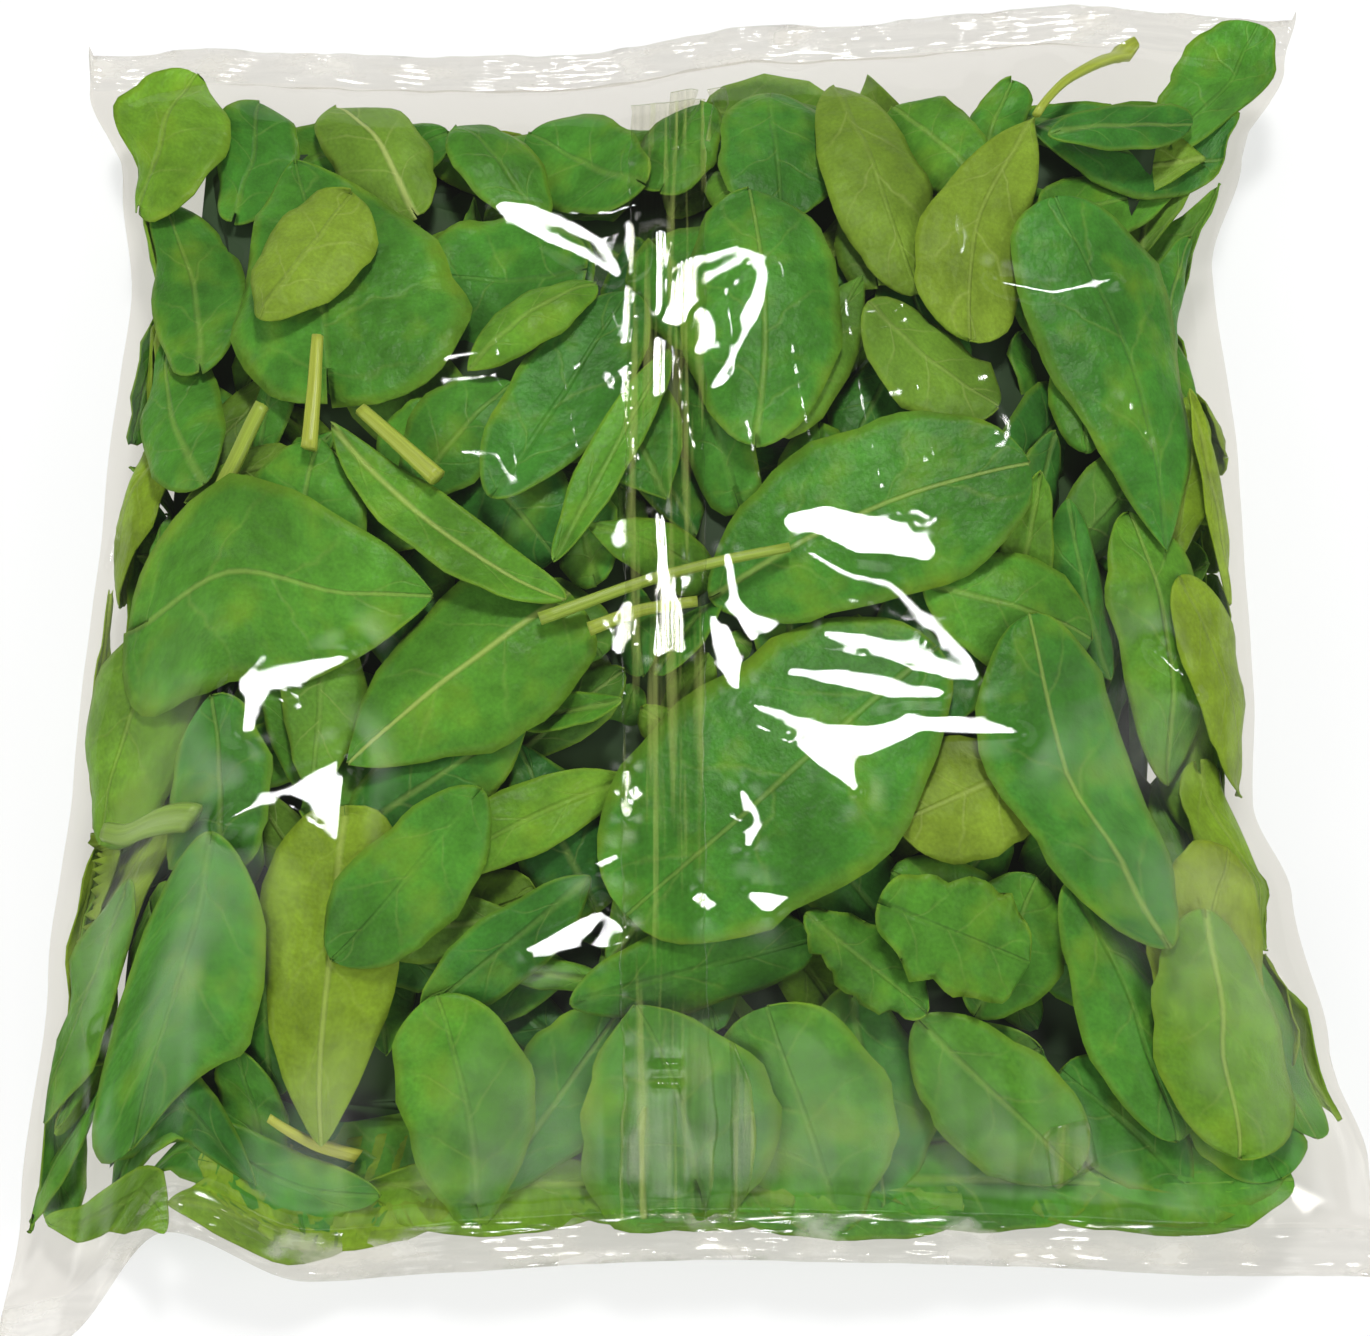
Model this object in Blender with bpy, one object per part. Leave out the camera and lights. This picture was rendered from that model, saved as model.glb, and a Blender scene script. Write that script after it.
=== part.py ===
"""A sealed clear pillow bag filled with baby spinach leaves, lying on its plain side with its back seam up.

The bag is one piece of film: a tube closed by a crimped seal across each end and by one long seam, whose
fin lies flat along the middle. It is packed full, so it is modelled as one closed solid out to the film.
+X runs across the bag, +Y along the seam towards the far end seal, and +Z is up. The origin is the middle
of the underside.
"""

import math

import bmesh
import bpy
from mathutils import Vector

NAME = "spinach_bag"

# Driving dimensions, in metres.
FLAT_WIDTH = 0.283  # the empty bag, pressed flat, from side fold to side fold
FLAT_LENGTH = 0.292  # along its side folds, end seals included
RISE_ABOVE = 0.036  # how far the filled film stands above the bag's middle plane
DROP_BELOW = 0.034  # and how far it would hang below it, before it flattens on the table
MIDDLE_PLANE = 0.0235
SEAL_DEPTH = 0.011  # the width of each crimped end seal
SEAL_THICKNESS = 0.0010
CRIMP_PITCH = 0.0022  # the ribs that the hot jaws press into an end seal
CRIMP_RISE = 0.00035
FIN_LEFT = -0.011  # the back seam's fin, folded flat: its fold line and its free edge
FIN_RIGHT = 0.008
FIN_RISE = 0.0009
FIN_STEP = 0.0004
LUMP = 0.0016  # how much the leaves' uneven heap shows through the film
GATHER_PITCH = 0.029  # the film's gathers, where its full width is drawn down into a flat seal
GATHER_RISE = 0.0013
GATHER_REACH = 0.055  # how far they run in from an end
END_PULL = 0.006  # how far the fill draws the middle of each end in from its corners

# The rest of the form, as shares of the length or of the half width.
FULLNESS = 0.62  # lower is fuller towards the end seals
SHOULDER = 2.6  # higher is flatter across the top and rounder at the side folds
ROUNDING = 0.55
SIDE_COLUMNS = 20
BODY_ROWS = 30

# How far each side fold is drawn in, at shares of the length from the near end to the far end.
LEFT_WAIST = (
    (0.0, 0.0),
    (0.10, 0.0045),
    (0.25, 0.0100),
    (0.40, 0.0128),
    (0.62, 0.0155),
    (0.77, 0.0180),
    (0.88, 0.0135),
    (0.96, 0.0040),
    (1.0, 0.0030),
)
RIGHT_WAIST = (
    (0.0, 0.0010),
    (0.08, 0.0035),
    (0.16, 0.0105),
    (0.27, 0.0170),
    (0.34, 0.0240),
    (0.42, 0.0225),
    (0.60, 0.0230),
    (0.77, 0.0262),
    (0.87, 0.0180),
    (0.95, 0.0070),
    (1.0, 0.0035),
)
# Where the cut ends lie beyond a straight end line, and how high they stand, from the left corner (-1) to
# the right corner (1). The near left corner hangs down to the table.
NEAR_END_OUT = (
    (-1.0, 0.0045),
    (-0.92, 0.0035),
    (-0.75, -0.0165),
    (-0.54, -0.0058),
    (-0.35, -0.0060),
    (0.0, -0.0080),
    (0.7, -0.0085),
    (1.0, -0.0110),
)
NEAR_END_HEIGHT = ((-1.0, 0.0015), (-0.88, 0.006), (-0.72, 0.021), (-0.5, 0.014), (-0.32, 0.019), (1.0, 0.017))
FAR_END_OUT = ((-1.0, -0.002), (-0.8, 0.0020), (-0.3, 0.0020), (0.1, 0.0080), (0.6, 0.0085), (1.0, 0.0040))
FAR_END_HEIGHT = ((-1.0, 0.015), (-0.2, 0.017), (0.2, 0.022), (0.6, 0.026), (1.0, 0.022))


def eased(points, at):
    """The value at a place along a short list of (place, value) points, with smooth turns between them."""
    if at <= points[0][0]:
        return points[0][1]
    for (start, low), (end, high) in zip(points, points[1:]):
        if at <= end:
            share = (at - start) / (end - start)
            return low + (high - low) * share * share * (3 - 2 * share)
    return points[-1][1]


def half_width(along, across):
    waist = LEFT_WAIST if across < 0 else RIGHT_WAIST
    return FLAT_WIDTH / 2 - eased(waist, along)


def plumpness(along):
    """0 in the end seals, rising steeply to 1 where the bag is full."""
    seal = SEAL_DEPTH / FLAT_LENGTH
    inside = (along - seal) / (1 - 2 * seal)
    if inside <= 0 or inside >= 1:
        return 0.0
    return math.sin(math.pi * inside) ** FULLNESS


def crown(across):
    """How much of the full rise a place across the bag has: flat in the middle, round at the side folds."""
    return max(0.0, 1 - abs(across) ** SHOULDER) ** ROUNDING


def middle_plane(across, along):
    """The height halfway between the two films: the ends' own heights, eased into the body's."""
    near = eased(NEAR_END_HEIGHT, across)
    far = eased(FAR_END_HEIGHT, across)
    to_body = eased(((0.0, 0.0), (0.30, 1.0)), min(along, 1 - along))
    end = near if along < 0.5 else far
    return end + (MIDDLE_PLANE - end) * to_body


def lumps(x, y):
    """The heap of leaves pressing on the film, as three crossing waves of about leaf size."""
    broad = math.sin(x * 98 + 0.7) * math.sin(y * 87 + 0.4)
    slanting = math.sin((x + 0.8 * y) * 151 + 2.1)
    steep = math.sin((x - 1.3 * y) * 118 + 0.3)
    return LUMP * (0.9 * broad + 0.55 * slanting + 0.45 * steep)


def gathers(x, along):
    """Gathers running in from the end seals. They rise from nothing at the seal and die away in the body."""
    reach = min(along, 1 - along) * FLAT_LENGTH - SEAL_DEPTH
    if reach <= 0 or reach >= GATHER_REACH:
        return 0.0
    uneven = 0.9 * math.sin(x * 47 + 4 * along)
    return GATHER_RISE * math.sin(math.pi * reach / GATHER_REACH) * math.sin(2 * math.pi * x / GATHER_PITCH + uneven)


def crimp(along):
    """The end seals' ribs. They stop where the seal does."""
    depth = min(along, 1 - along) * FLAT_LENGTH
    if depth > SEAL_DEPTH:
        return 0.0
    return CRIMP_RISE * math.cos(2 * math.pi * depth / CRIMP_PITCH)


def fin(x):
    """The seam's fin, as a low flat strip on the upper film."""
    from_edge = min(x - FIN_LEFT, FIN_RIGHT - x)
    return FIN_RISE * min(1.0, max(0.0, 0.5 + from_edge / FIN_STEP))


def place_y(across, along):
    near = -FLAT_LENGTH / 2 - eased(NEAR_END_OUT, across)
    far = FLAT_LENGTH / 2 + eased(FAR_END_OUT, across)
    pull = END_PULL * (1 - across * across)
    return near + pull + (far - near - 2 * pull) * along


def on_film(x, across, along, upper):
    """The point of the upper or the lower film at one place of the bag."""
    y = place_y(across, along)
    full = plumpness(along) * crown(across)
    plane = middle_plane(across, along) + crimp(along)
    half_seal = SEAL_THICKNESS / 2
    if upper:
        z = plane + half_seal + full * (RISE_ABOVE + lumps(x, y) + gathers(x, along)) + fin(x)
    else:
        z = max(0.0, plane - half_seal - full * DROP_BELOW)
    return Vector((x, y, z))


def column_places():
    """Places across the bag as (share of the half width, or None, and fixed x, or None), left to right.

    They crowd towards the side folds, where the film turns, and at the fin's two edges.
    """
    sides = [math.sin(math.pi / 2 * (0.13 + 0.87 * i / SIDE_COLUMNS)) for i in range(SIDE_COLUMNS + 1)]
    half_step = FIN_STEP / 2
    steps = [edge + step for edge in (FIN_LEFT, FIN_RIGHT) for step in (-half_step, half_step)]
    left = [(-share, None) for share in reversed(sides)]
    right = [(share, None) for share in sides]
    return left + [(None, x) for x in steps] + right


def row_places():
    """Shares of the length, near end to far end: two rows to each rib in the seals, then the body's rows."""
    ribs = round(2 * SEAL_DEPTH / CRIMP_PITCH)
    seal = SEAL_DEPTH / FLAT_LENGTH
    near = [seal * i / ribs for i in range(ribs)]
    body = []
    for i in range(BODY_ROWS + 1):
        turn = math.pi * i / BODY_ROWS
        even = i / BODY_ROWS
        crowded = 0.5 - 0.5 * math.cos(turn)
        body.append(seal + (1 - 2 * seal) * (0.55 * crowded + 0.45 * even))
    return near + body + [1 - place for place in reversed(near)]


def bag_mesh():
    """A grid extruded to a slab of two films, each vertex then set on the filled bag's film."""
    columns, rows = column_places(), row_places()
    bm = bmesh.new()
    bmesh.ops.create_grid(bm, x_segments=len(columns) - 1, y_segments=len(rows) - 1, size=0.5)
    bmesh.ops.extrude_face_region(bm, geom=list(bm.faces))
    half = len(bm.verts) // 2
    for number, vertex in enumerate(bm.verts):
        column = round((vertex.co.x + 0.5) * (len(columns) - 1))
        along = rows[round((vertex.co.y + 0.5) * (len(rows) - 1))]
        share, x = columns[column]
        if share is None:
            share = x / half_width(along, x)
        else:
            x = share * half_width(along, share)
        vertex.co = on_film(x, share, along, upper=number >= half)
    middle_on_base(bm)
    bmesh.ops.triangulate(bm, faces=bm.faces)
    bmesh.ops.recalc_face_normals(bm, faces=bm.faces)
    mesh = bpy.data.meshes.new(NAME)
    bm.to_mesh(mesh)
    bm.free()
    return mesh


def middle_on_base(bm):
    """Moves the whole bag so that the middle of its base is the origin."""
    low = Vector(min(v.co[axis] for v in bm.verts) for axis in range(3))
    high = Vector(max(v.co[axis] for v in bm.verts) for axis in range(3))
    middle = (low + high) / 2
    bmesh.ops.translate(bm, verts=bm.verts, vec=Vector((-middle.x, -middle.y, -low.z)))


def filled_film():
    """Clear film with green leaves behind it, as one plain colour for the solid."""
    material = bpy.data.materials.new("filled_clear_film")
    material.use_nodes = True
    shader = material.node_tree.nodes["Principled BSDF"]
    shader.inputs["Base Color"].default_value = (0.09, 0.26, 0.05, 1.0)
    shader.inputs["Roughness"].default_value = 0.18
    shader.inputs["Metallic"].default_value = 0.0
    return material


def build():
    for obj in list(bpy.data.objects):
        bpy.data.objects.remove(obj)
    collection = bpy.data.collections.new(NAME)
    bpy.context.scene.collection.children.link(collection)
    bag = bpy.data.objects.new(NAME, bag_mesh())
    bag.data.materials.append(filled_film())
    bag.data.shade_smooth()
    collection.objects.link(bag)


build()
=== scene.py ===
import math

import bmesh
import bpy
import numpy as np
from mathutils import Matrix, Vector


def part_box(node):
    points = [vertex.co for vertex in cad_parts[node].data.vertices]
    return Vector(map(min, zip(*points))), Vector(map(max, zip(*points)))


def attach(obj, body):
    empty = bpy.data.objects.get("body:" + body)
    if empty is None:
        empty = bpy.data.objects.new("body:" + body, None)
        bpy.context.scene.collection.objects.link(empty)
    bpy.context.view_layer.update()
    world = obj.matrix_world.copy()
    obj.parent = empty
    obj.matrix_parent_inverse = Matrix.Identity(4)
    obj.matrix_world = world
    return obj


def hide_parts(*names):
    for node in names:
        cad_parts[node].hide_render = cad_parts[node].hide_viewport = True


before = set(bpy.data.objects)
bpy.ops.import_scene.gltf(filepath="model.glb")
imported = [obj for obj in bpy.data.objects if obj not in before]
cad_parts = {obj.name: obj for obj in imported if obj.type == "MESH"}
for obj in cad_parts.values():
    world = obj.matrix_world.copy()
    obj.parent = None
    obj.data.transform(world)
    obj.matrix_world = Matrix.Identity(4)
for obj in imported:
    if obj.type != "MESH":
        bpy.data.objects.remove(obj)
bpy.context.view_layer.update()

# %% [markdown]
# # A bag of baby spinach
#
# A pillow bag is one tube of clear film. A long seam closes the tube, and a crimped seal closes each end.
# This one is packed full of loose spinach leaves and lies on its plain side, with the seam up.
#
# The bag is solved from the outside in: first the smooth film, then its creases, then the leaves, which are
# pushed up against the film one after another, as they settle in a real bag. Everything is worked out in
# millimetres, on one map of the film, and turned to metres when a mesh is written.

MM = 0.001
ODDS = np.random.default_rng(11)

# %% [markdown]
# ## The smooth film
#
# The empty bag is a flat rectangle. Filled, it is thick in the middle, its side folds draw in, and its ends
# stay flat. It could be inflated by simulation, but a formula gives each point of the film a place at once,
# and the leaves need that too: they lie at a depth under a place of the film.

# %% Sizes of the filled bag
FLAT_WIDTH = 283.0
FLAT_LENGTH = 292.0
RISE_ABOVE = 36.0
DROP_BELOW = 34.0
MIDDLE_PLANE = 23.5
SEAL_DEPTH = 11.0
END_PULL = 6.0
FULLNESS = 0.62
SHOULDER = 2.6
ROUNDING = 0.55
FILM_GAP = 0.15  # half the distance between the two films where they are sealed

LEFT_WAIST = (
    (0.0, 0.0), (0.10, 4.5), (0.25, 10.0), (0.40, 12.8), (0.62, 15.5), (0.77, 18.0), (0.88, 13.5), (0.96, 4.0),
    (1.0, 3.0),
)
RIGHT_WAIST = (
    (0.0, 1.0), (0.08, 3.5), (0.16, 10.5), (0.27, 17.0), (0.34, 24.0), (0.42, 22.5), (0.60, 23.0), (0.77, 26.2),
    (0.87, 18.0), (0.95, 7.0), (1.0, 3.5),
)
NEAR_END_OUT = (
    (-1.0, 4.5), (-0.92, 3.5), (-0.75, -16.5), (-0.54, -5.8), (-0.35, -6.0), (0.0, -8.0), (0.7, -8.5), (1.0, -11.0),
)
NEAR_END_HEIGHT = ((-1.0, 1.5), (-0.88, 6.0), (-0.72, 21.0), (-0.5, 14.0), (-0.32, 19.0), (1.0, 17.0))
FAR_END_OUT = ((-1.0, -2.0), (-0.8, 2.0), (-0.3, 2.0), (0.1, 8.0), (0.6, 8.5), (1.0, 4.0))
FAR_END_HEIGHT = ((-1.0, 15.0), (-0.2, 17.0), (0.2, 22.0), (0.6, 26.0), (1.0, 22.0))


def eased(points, at):
    """Values along a short list of (place, value) points, with smooth turns between them."""
    places, values = np.array(points).T
    i = np.clip(np.searchsorted(places, at, side="right") - 1, 0, len(places) - 2)
    share = np.clip((at - places[i]) / (places[i + 1] - places[i]), 0, 1)
    return values[i] + (values[i + 1] - values[i]) * share * share * (3 - 2 * share)


def half_width(across, along):
    return FLAT_WIDTH / 2 - np.where(across < 0, eased(LEFT_WAIST, along), eased(RIGHT_WAIST, along))


def plumpness(along):
    """0 in the end seals, rising steeply to 1 where the bag is full."""
    seal = SEAL_DEPTH / FLAT_LENGTH
    inside = np.clip((along - seal) / (1 - 2 * seal), 0, 1)
    return np.sin(math.pi * inside) ** FULLNESS


def crown(across):
    """Flat in the middle, round at the side folds."""
    return np.clip(1 - np.abs(across) ** SHOULDER, 0, 1) ** ROUNDING


def film_place(across, along, upper):
    """Points of the smooth film, before it is centred: across -1 to 1, along 0 (near end) to 1 (far end)."""
    across, along = np.broadcast_arrays(np.asarray(across, float), np.asarray(along, float))
    x = across * half_width(across, along)
    near = -FLAT_LENGTH / 2 - eased(NEAR_END_OUT, across)
    far = FLAT_LENGTH / 2 + eased(FAR_END_OUT, across)
    pull = END_PULL * (1 - across * across)
    y = near + pull + (far - near - 2 * pull) * along
    full = plumpness(along) * crown(across)
    end = np.where(along < 0.5, eased(NEAR_END_HEIGHT, across), eased(FAR_END_HEIGHT, across))
    body = eased(((0.0, 0.0), (0.30, 1.0)), np.minimum(along, 1 - along))
    plane = end + (MIDDLE_PLANE - end) * body
    above = plane + FILM_GAP + full * RISE_ABOVE
    below = np.maximum(plane - FILM_GAP - full * DROP_BELOW, 0.0)
    return np.stack([x, y, np.where(upper, above, below)], -1)


# %% Centre the film on the CAD solid
across, along = np.meshgrid(np.linspace(-1, 1, 201), np.linspace(0, 1, 201))
rough = np.concatenate([film_place(across, along, upper).reshape(-1, 3) for upper in (True, False)])
low, high = (np.array(corner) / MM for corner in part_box("spinach_bag"))
CENTRE = (low + high) / 2 - (rough.min(0) + rough.max(0)) / 2
CENTRE[2] = 0.0
print("the film is moved by", CENTRE.round(2), "mm; its box is", (rough.max(0) - rough.min(0)).round(1), "mm")

# %% [markdown]
# ## One map of the film
#
# Lay the tube of film out flat and each point has two numbers: **s**, its way round the tube from the back
# seam, and **t**, its way along from the near end. A leaf is drawn on that flat map and carried to the bag
# with its depth below the film, so leaves bend round the side folds just as the film does.

# %% From the flat map to the filled bag
HALF = FLAT_WIDTH / 2
SHARES = np.linspace(0, 1, 401)


def arc_shares(upper):
    """How far round the film each share of the half width is, in the middle of the bag."""
    steps = np.diff(film_place(SHARES, 0.5, upper), axis=0)
    arc = np.concatenate([[0], np.cumsum(np.linalg.norm(steps, axis=1))])
    return arc / arc[-1]


ARC_ABOVE, ARC_BELOW = arc_shares(True), arc_shares(False)


def film_at(s, t):
    """Points of the smooth film on the filled bag, for places on its flat map."""
    s = (np.asarray(s, float) + HALF) % (4 * HALF) - HALF
    upper = s <= HALF
    side = np.where(upper, s, 2 * HALF - s) / HALF
    size = np.where(upper, np.interp(np.abs(side), ARC_ABOVE, SHARES), np.interp(np.abs(side), ARC_BELOW, SHARES))
    return film_place(np.sign(side) * size, np.asarray(t, float) / FLAT_LENGTH, upper) + CENTRE


def film_normal(s, t, step=0.5):
    """Unit vectors straight out of the film."""
    round_tube = film_at(s + step, t) - film_at(s - step, t)
    up_seam = film_at(s, t + step) - film_at(s, t - step)
    out = np.cross(round_tube, up_seam)
    return out / (np.linalg.norm(out, axis=-1, keepdims=True) + 1e-9)


def under_film(s, t, depth):
    """Points at a depth below the film."""
    return film_at(s, t) - film_normal(s, t) * np.asarray(depth)[..., None]


def map_place(x, y):
    """The place on the upper film's flat map that is straight above (x, y)."""
    x, y = np.asarray(x, float) - CENTRE[0], np.asarray(y, float) - CENTRE[1]
    along = y / FLAT_LENGTH + 0.5
    for _ in range(5):
        across = np.clip(x / half_width(x, along), -1, 1)
        near = -FLAT_LENGTH / 2 - eased(NEAR_END_OUT, across)
        far = FLAT_LENGTH / 2 + eased(FAR_END_OUT, across)
        pull = END_PULL * (1 - across * across)
        along = np.clip((y - near - pull) / (far - near - 2 * pull), 0, 1)
    past_fold = np.maximum(np.abs(x) - half_width(x, along), 0)
    return np.sign(across) * (np.interp(np.abs(across), SHARES, ARC_ABOVE) * HALF + past_fold), along * FLAT_LENGTH


print("the film is", round(float(film_at(0.0, 146.0)[2]), 1), "mm up at its middle")

# %% [markdown]
# ## Camera and softboxes
#
# They come before the creases, because a crease shows only where it turns the film towards a light. A small
# bright softbox, high behind the bag, gives the film its sharp glints. Large dim ones light the leaves evenly
# from the sides, low enough that the upper film does not mirror them as a grey veil.

# %% Where the camera and the glint light stand
AIM = np.array([-0.5, -9.2, 25.0])
CAMERA_HEIGHT_DEG = 72.0
CAMERA_AWAY = 640.0
CAMERA_ROLL_DEG = 0.2
SENSOR = 36.0
LENS = 79.6
GLINT_HEIGHT_DEG = 56.0
GLINT_TURN_DEG = 4.0  # from straight behind the bag towards its right
GLINT_AWAY = 1100.0


def heading(height_deg, turn_deg):
    """A unit vector at a height above the table; turn 0 points along +Y, and 90 along +X."""
    height, turn = math.radians(height_deg), math.radians(turn_deg)
    return np.array([math.cos(height) * math.sin(turn), math.cos(height) * math.cos(turn), math.sin(height)])


CAMERA_AT = AIM + CAMERA_AWAY * heading(CAMERA_HEIGHT_DEG, 180)
GLINT_AT = AIM + GLINT_AWAY * heading(GLINT_HEIGHT_DEG, GLINT_TURN_DEG)

lens = bpy.data.cameras.new("camera")
lens.lens = LENS
lens.sensor_width = SENSOR
lens.clip_start = 0.05
lens.clip_end = 20
camera = bpy.data.objects.new("camera", lens)
bpy.context.scene.collection.objects.link(camera)
bpy.context.scene.camera = camera
back = Vector(heading(CAMERA_HEIGHT_DEG, 180))
right = Vector((1, 0, 0))
camera.matrix_world = (
    Matrix.Translation(Vector(CAMERA_AT * MM))
    @ Matrix((right, back.cross(right), back)).transposed().to_4x4()
    @ Matrix.Rotation(math.radians(CAMERA_ROLL_DEG), 4, "Z")
)


def softbox(name, at, size, radiance, core):
    """A square area light of a size in mm that faces the bag and fades towards its rim.

    Radiance is how bright its middle looks, in W/m2/sr. The core is the share of it that is not faded."""
    light = bpy.data.lights.new(name, "AREA")
    light.shape = "SQUARE"
    light.size = size * MM
    light.energy = radiance * math.pi * (size * MM) ** 2
    light.use_nodes = True
    lamp = light.node_tree
    from_middle = lamp.nodes.new("ShaderNodeVectorMath")
    from_middle.operation = "DISTANCE"
    from_middle.inputs[1].default_value = (0.5, 0.5, 0.0)
    fade = lamp.nodes.new("ShaderNodeMapRange")
    fade.interpolation_type = "SMOOTHSTEP"
    for number, value in ((1, core / 2), (2, 0.5), (3, 1.0), (4, 0.0)):
        fade.inputs[number].default_value = value
    lamp.links.new(lamp.nodes.new("ShaderNodeNewGeometry").outputs["Parametric"], from_middle.inputs[0])
    lamp.links.new(from_middle.outputs["Value"], fade.inputs[0])
    lamp.links.new(fade.outputs["Result"], lamp.nodes["Emission"].inputs["Strength"])
    box = bpy.data.objects.new(name, light)
    box.location = Vector(at * MM)
    box.rotation_euler = Vector((at - AIM) * MM).to_track_quat("Z", "Y").to_euler()
    bpy.context.scene.collection.objects.link(box)
    print(f"{name}: radiance {radiance}, {light.energy:.2f} W")


softbox("glint_softbox", GLINT_AT, 360.0, 75.0, 0.0)
for name, height, turn, radiance in (
    ("left_softbox", 34.0, -100.0, 4.4),
    ("right_softbox", 34.0, 100.0, 3.9),
    ("front_softbox", 30.0, 180.0, 3.5),
):
    softbox(name, AIM + 1300.0 * heading(height, turn), 1500.0, radiance, 0.0)

world = bpy.data.worlds.new("dim_studio")
world.use_nodes = True
world.node_tree.nodes["Background"].inputs["Color"].default_value = (1.0, 1.0, 1.0, 1.0)
world.node_tree.nodes["Background"].inputs["Strength"].default_value = 0.08
bpy.context.scene.world = world
bpy.context.scene.view_settings.view_transform = "Standard"

# %% [markdown]
# ## Creases that catch the light
#
# Film is stiff enough to bridge between high leaves in flat patches with sharp edges. Such a patch flashes
# when it faces halfway between the camera and the light. Each glint below is a short stroke across the bag,
# with its half width at each point; the film under a stroke is asked to lean to that halfway direction, and
# everywhere else to stay as it is. The height that fits these wishes best is found by least squares, as a
# sheet that gives a little everywhere and does not tear.

# %% The glints, in mm across and along the bag, with half widths
GLINTS = (
    ((-40, 87.5, 1.6), (-34, 86.5, 2.2), (-28, 84.5, 1.1), (-20, 80.5, 0.7), (-14.5, 73, 0.6)),
    ((-37, 85, 1.6), (-30, 80.5, 1.3), (-22, 76.5, 1.0), (-15, 71.5, 0.5)),
    ((-12.5, 84, 0.8), (-12.5, 72, 0.5)),
    ((-6, 78, 0.9), (-6, 70, 0.5), (-6, 60, 0.5)),
    ((0, 69, 1.5), (-1, 64, 2.5), (-3, 58, 1.9)),
    ((3, 59, 1.3), (4, 54, 1.5), (2, 50, 0.8)),
    ((0, 71, 0.8), (6, 73.5, 0.6), (10, 75, 0.5), (14.5, 73, 0.6), (15.5, 69, 0.8), (14.5, 63, 1.4), (12.5, 58, 1.7)),
    ((12.5, 58, 0.9), (12, 55, 0.5), (9, 49, 0.5), (5, 42, 0.6)),
    ((4, 68, 0.6), (9, 71, 0.5), (13, 74, 0.5)),
    ((22, 12, 2.4), (28, 12, 3.8), (35, 9, 4.6), (42, 8, 4.0), (48, 5, 2.0)),
    ((25, 6, 0.8), (33, 1, 0.6), (41, -1, 0.6), (48, -9, 0.7), (56, -18, 1.0), (57, -22, 1.2)),
    ((28, -12, 0.8), (36, -14, 1.6), (44, -17, 2.1), (52, -21, 1.9), (57, -22, 0.9)),
    ((21, -20, 0.7), (30, -21.5, 1.8), (40, -24, 2.3), (50, -25, 1.4)),
    ((13, -26.5, 0.5), (20, -29, 1.2), (28, -33, 2.6), (36, -34.5, 3.2), (43, -32, 2.4), (49, -29.5, 1.0)),
    ((24, -35, 2.0), (30, -40, 2.6), (33, -45, 0.8)),
    ((44, -30, 1.8), (52, -31, 2.2), (60, -32, 1.4), (66, -33, 0.7)),
    ((8, 5, 0.7), (9.5, -5, 0.5), (12, -9, 0.8), (16, -11, 1.5)),
    ((9, -8, 0.6), (13, -14, 0.6)),
    ((5, -9, 0.6), (6, -15, 0.7), (9, -24, 0.8)),
    ((8, -11, 0.6), (9.5, -18, 0.7), (10, -25, 0.7)),
    ((-14, -17, 1.0), (-12, -9, 0.8), (-12, -6, 0.5)),
    ((-4, -3, 0.5), (-4.5, -12, 0.8), (-6, -18, 0.9)),
    ((-2, -9, 0.5), (-1.5, -17, 1.0)),
    ((-90, -22, 1.8), (-84, -20, 3.1), (-77, -18, 2.6), (-69, -15, 1.2)),
    ((-88, -26, 2.4), (-88, -32, 1.8)),
    ((-70, -36, 1.2), (-75, -41, 3.0), (-80, -43, 1.2), (-92, -50, 0.6)),
    ((-70, -40, 2.0), (-70, -48, 1.8), (-70, -52, 1.6)),
    ((-77, -43, 1.6), (-72, -47, 1.8)),
    ((-30, -76, 1.8), (-25, -74, 3.0), (-21, -70, 1.8), (-17, -67, 0.8), (-13, -70, 0.7)),
    ((-15, -69, 0.6), (-17, -75, 0.9)),
    ((13, -64, 0.8), (16, -66, 2.4), (19, -65, 1.0)),
    ((3, -64, 0.7), (4, -67, 1.1)),
    ((11, -44, 0.7), (14, -50, 1.0), (12, -56, 0.6)),
    ((-12, -40, 0.6), (-12, -50, 0.8)),
    ((-17, -59, 1.0), (-14, -57, 0.7)),
    ((97, -11, 0.4), (104, -20, 0.5)),
    ((82, 46, 0.6), (83, 40, 0.8)),
    ((92, 43, 0.5), (96, 36, 0.8)),
    ((66, 72, 0.5), (78, 69, 0.6), (91, 72, 0.5)),
    ((-122, 11, 0.8), (-121, 16, 1.0)),
    ((-110, -108, 0.6), (-107, -112, 0.8)),
    ((-118, -88, 0.5), (-120, -104, 0.6)),
    ((-6, -96.3, 0.6), (-2, -96, 0.6)),
    ((-6, -99.6, 0.6), (-2, -99.5, 0.6)),
    ((-13, 66, 0.6), (-13, 53, 0.6)),
    ((-13, 46, 0.6), (-13, 39, 0.7)),
    ((-13.5, 11, 0.6), (-14, 6, 0.8)),
    ((-6, 13, 0.6), (-5, 3, 0.6), (-4.5, -8, 0.6)),
    ((-6.5, 52, 0.6), (-6, 40, 0.6)),
)
BUILD_PITCH = 0.6
plan_x, plan_y = np.meshgrid(np.arange(-145.5, 146, BUILD_PITCH), np.arange(-153, 154, BUILD_PITCH))


def stroke_share(points):
    """How much each place of the plan belongs to a stroke, from 0 to 1."""
    share = np.zeros_like(plan_x)
    for (x0, y0, r0), (x1, y1, r1) in zip(points, points[1:]):
        span = np.array([x1 - x0, y1 - y0], float)
        along = np.clip(((plan_x - x0) * span[0] + (plan_y - y0) * span[1]) / (span @ span), 0, 1)
        away = np.hypot(plan_x - x0 - along * span[0], plan_y - y0 - along * span[1])
        share = np.maximum(share, np.clip((r0 + (r1 - r0) * along - away) / 0.9 + 0.5, 0, 1))
    return share


# %% Let the film find its height
GIVE = 0.010  # how stiffly the film keeps its own slope outside a stroke, against 1 inside
HOLD = 0.00015  # and how firmly it keeps its height
FLASH = 0.08  # slopes this near the halfway slope mirror the softbox
STEPS = 500

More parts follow.
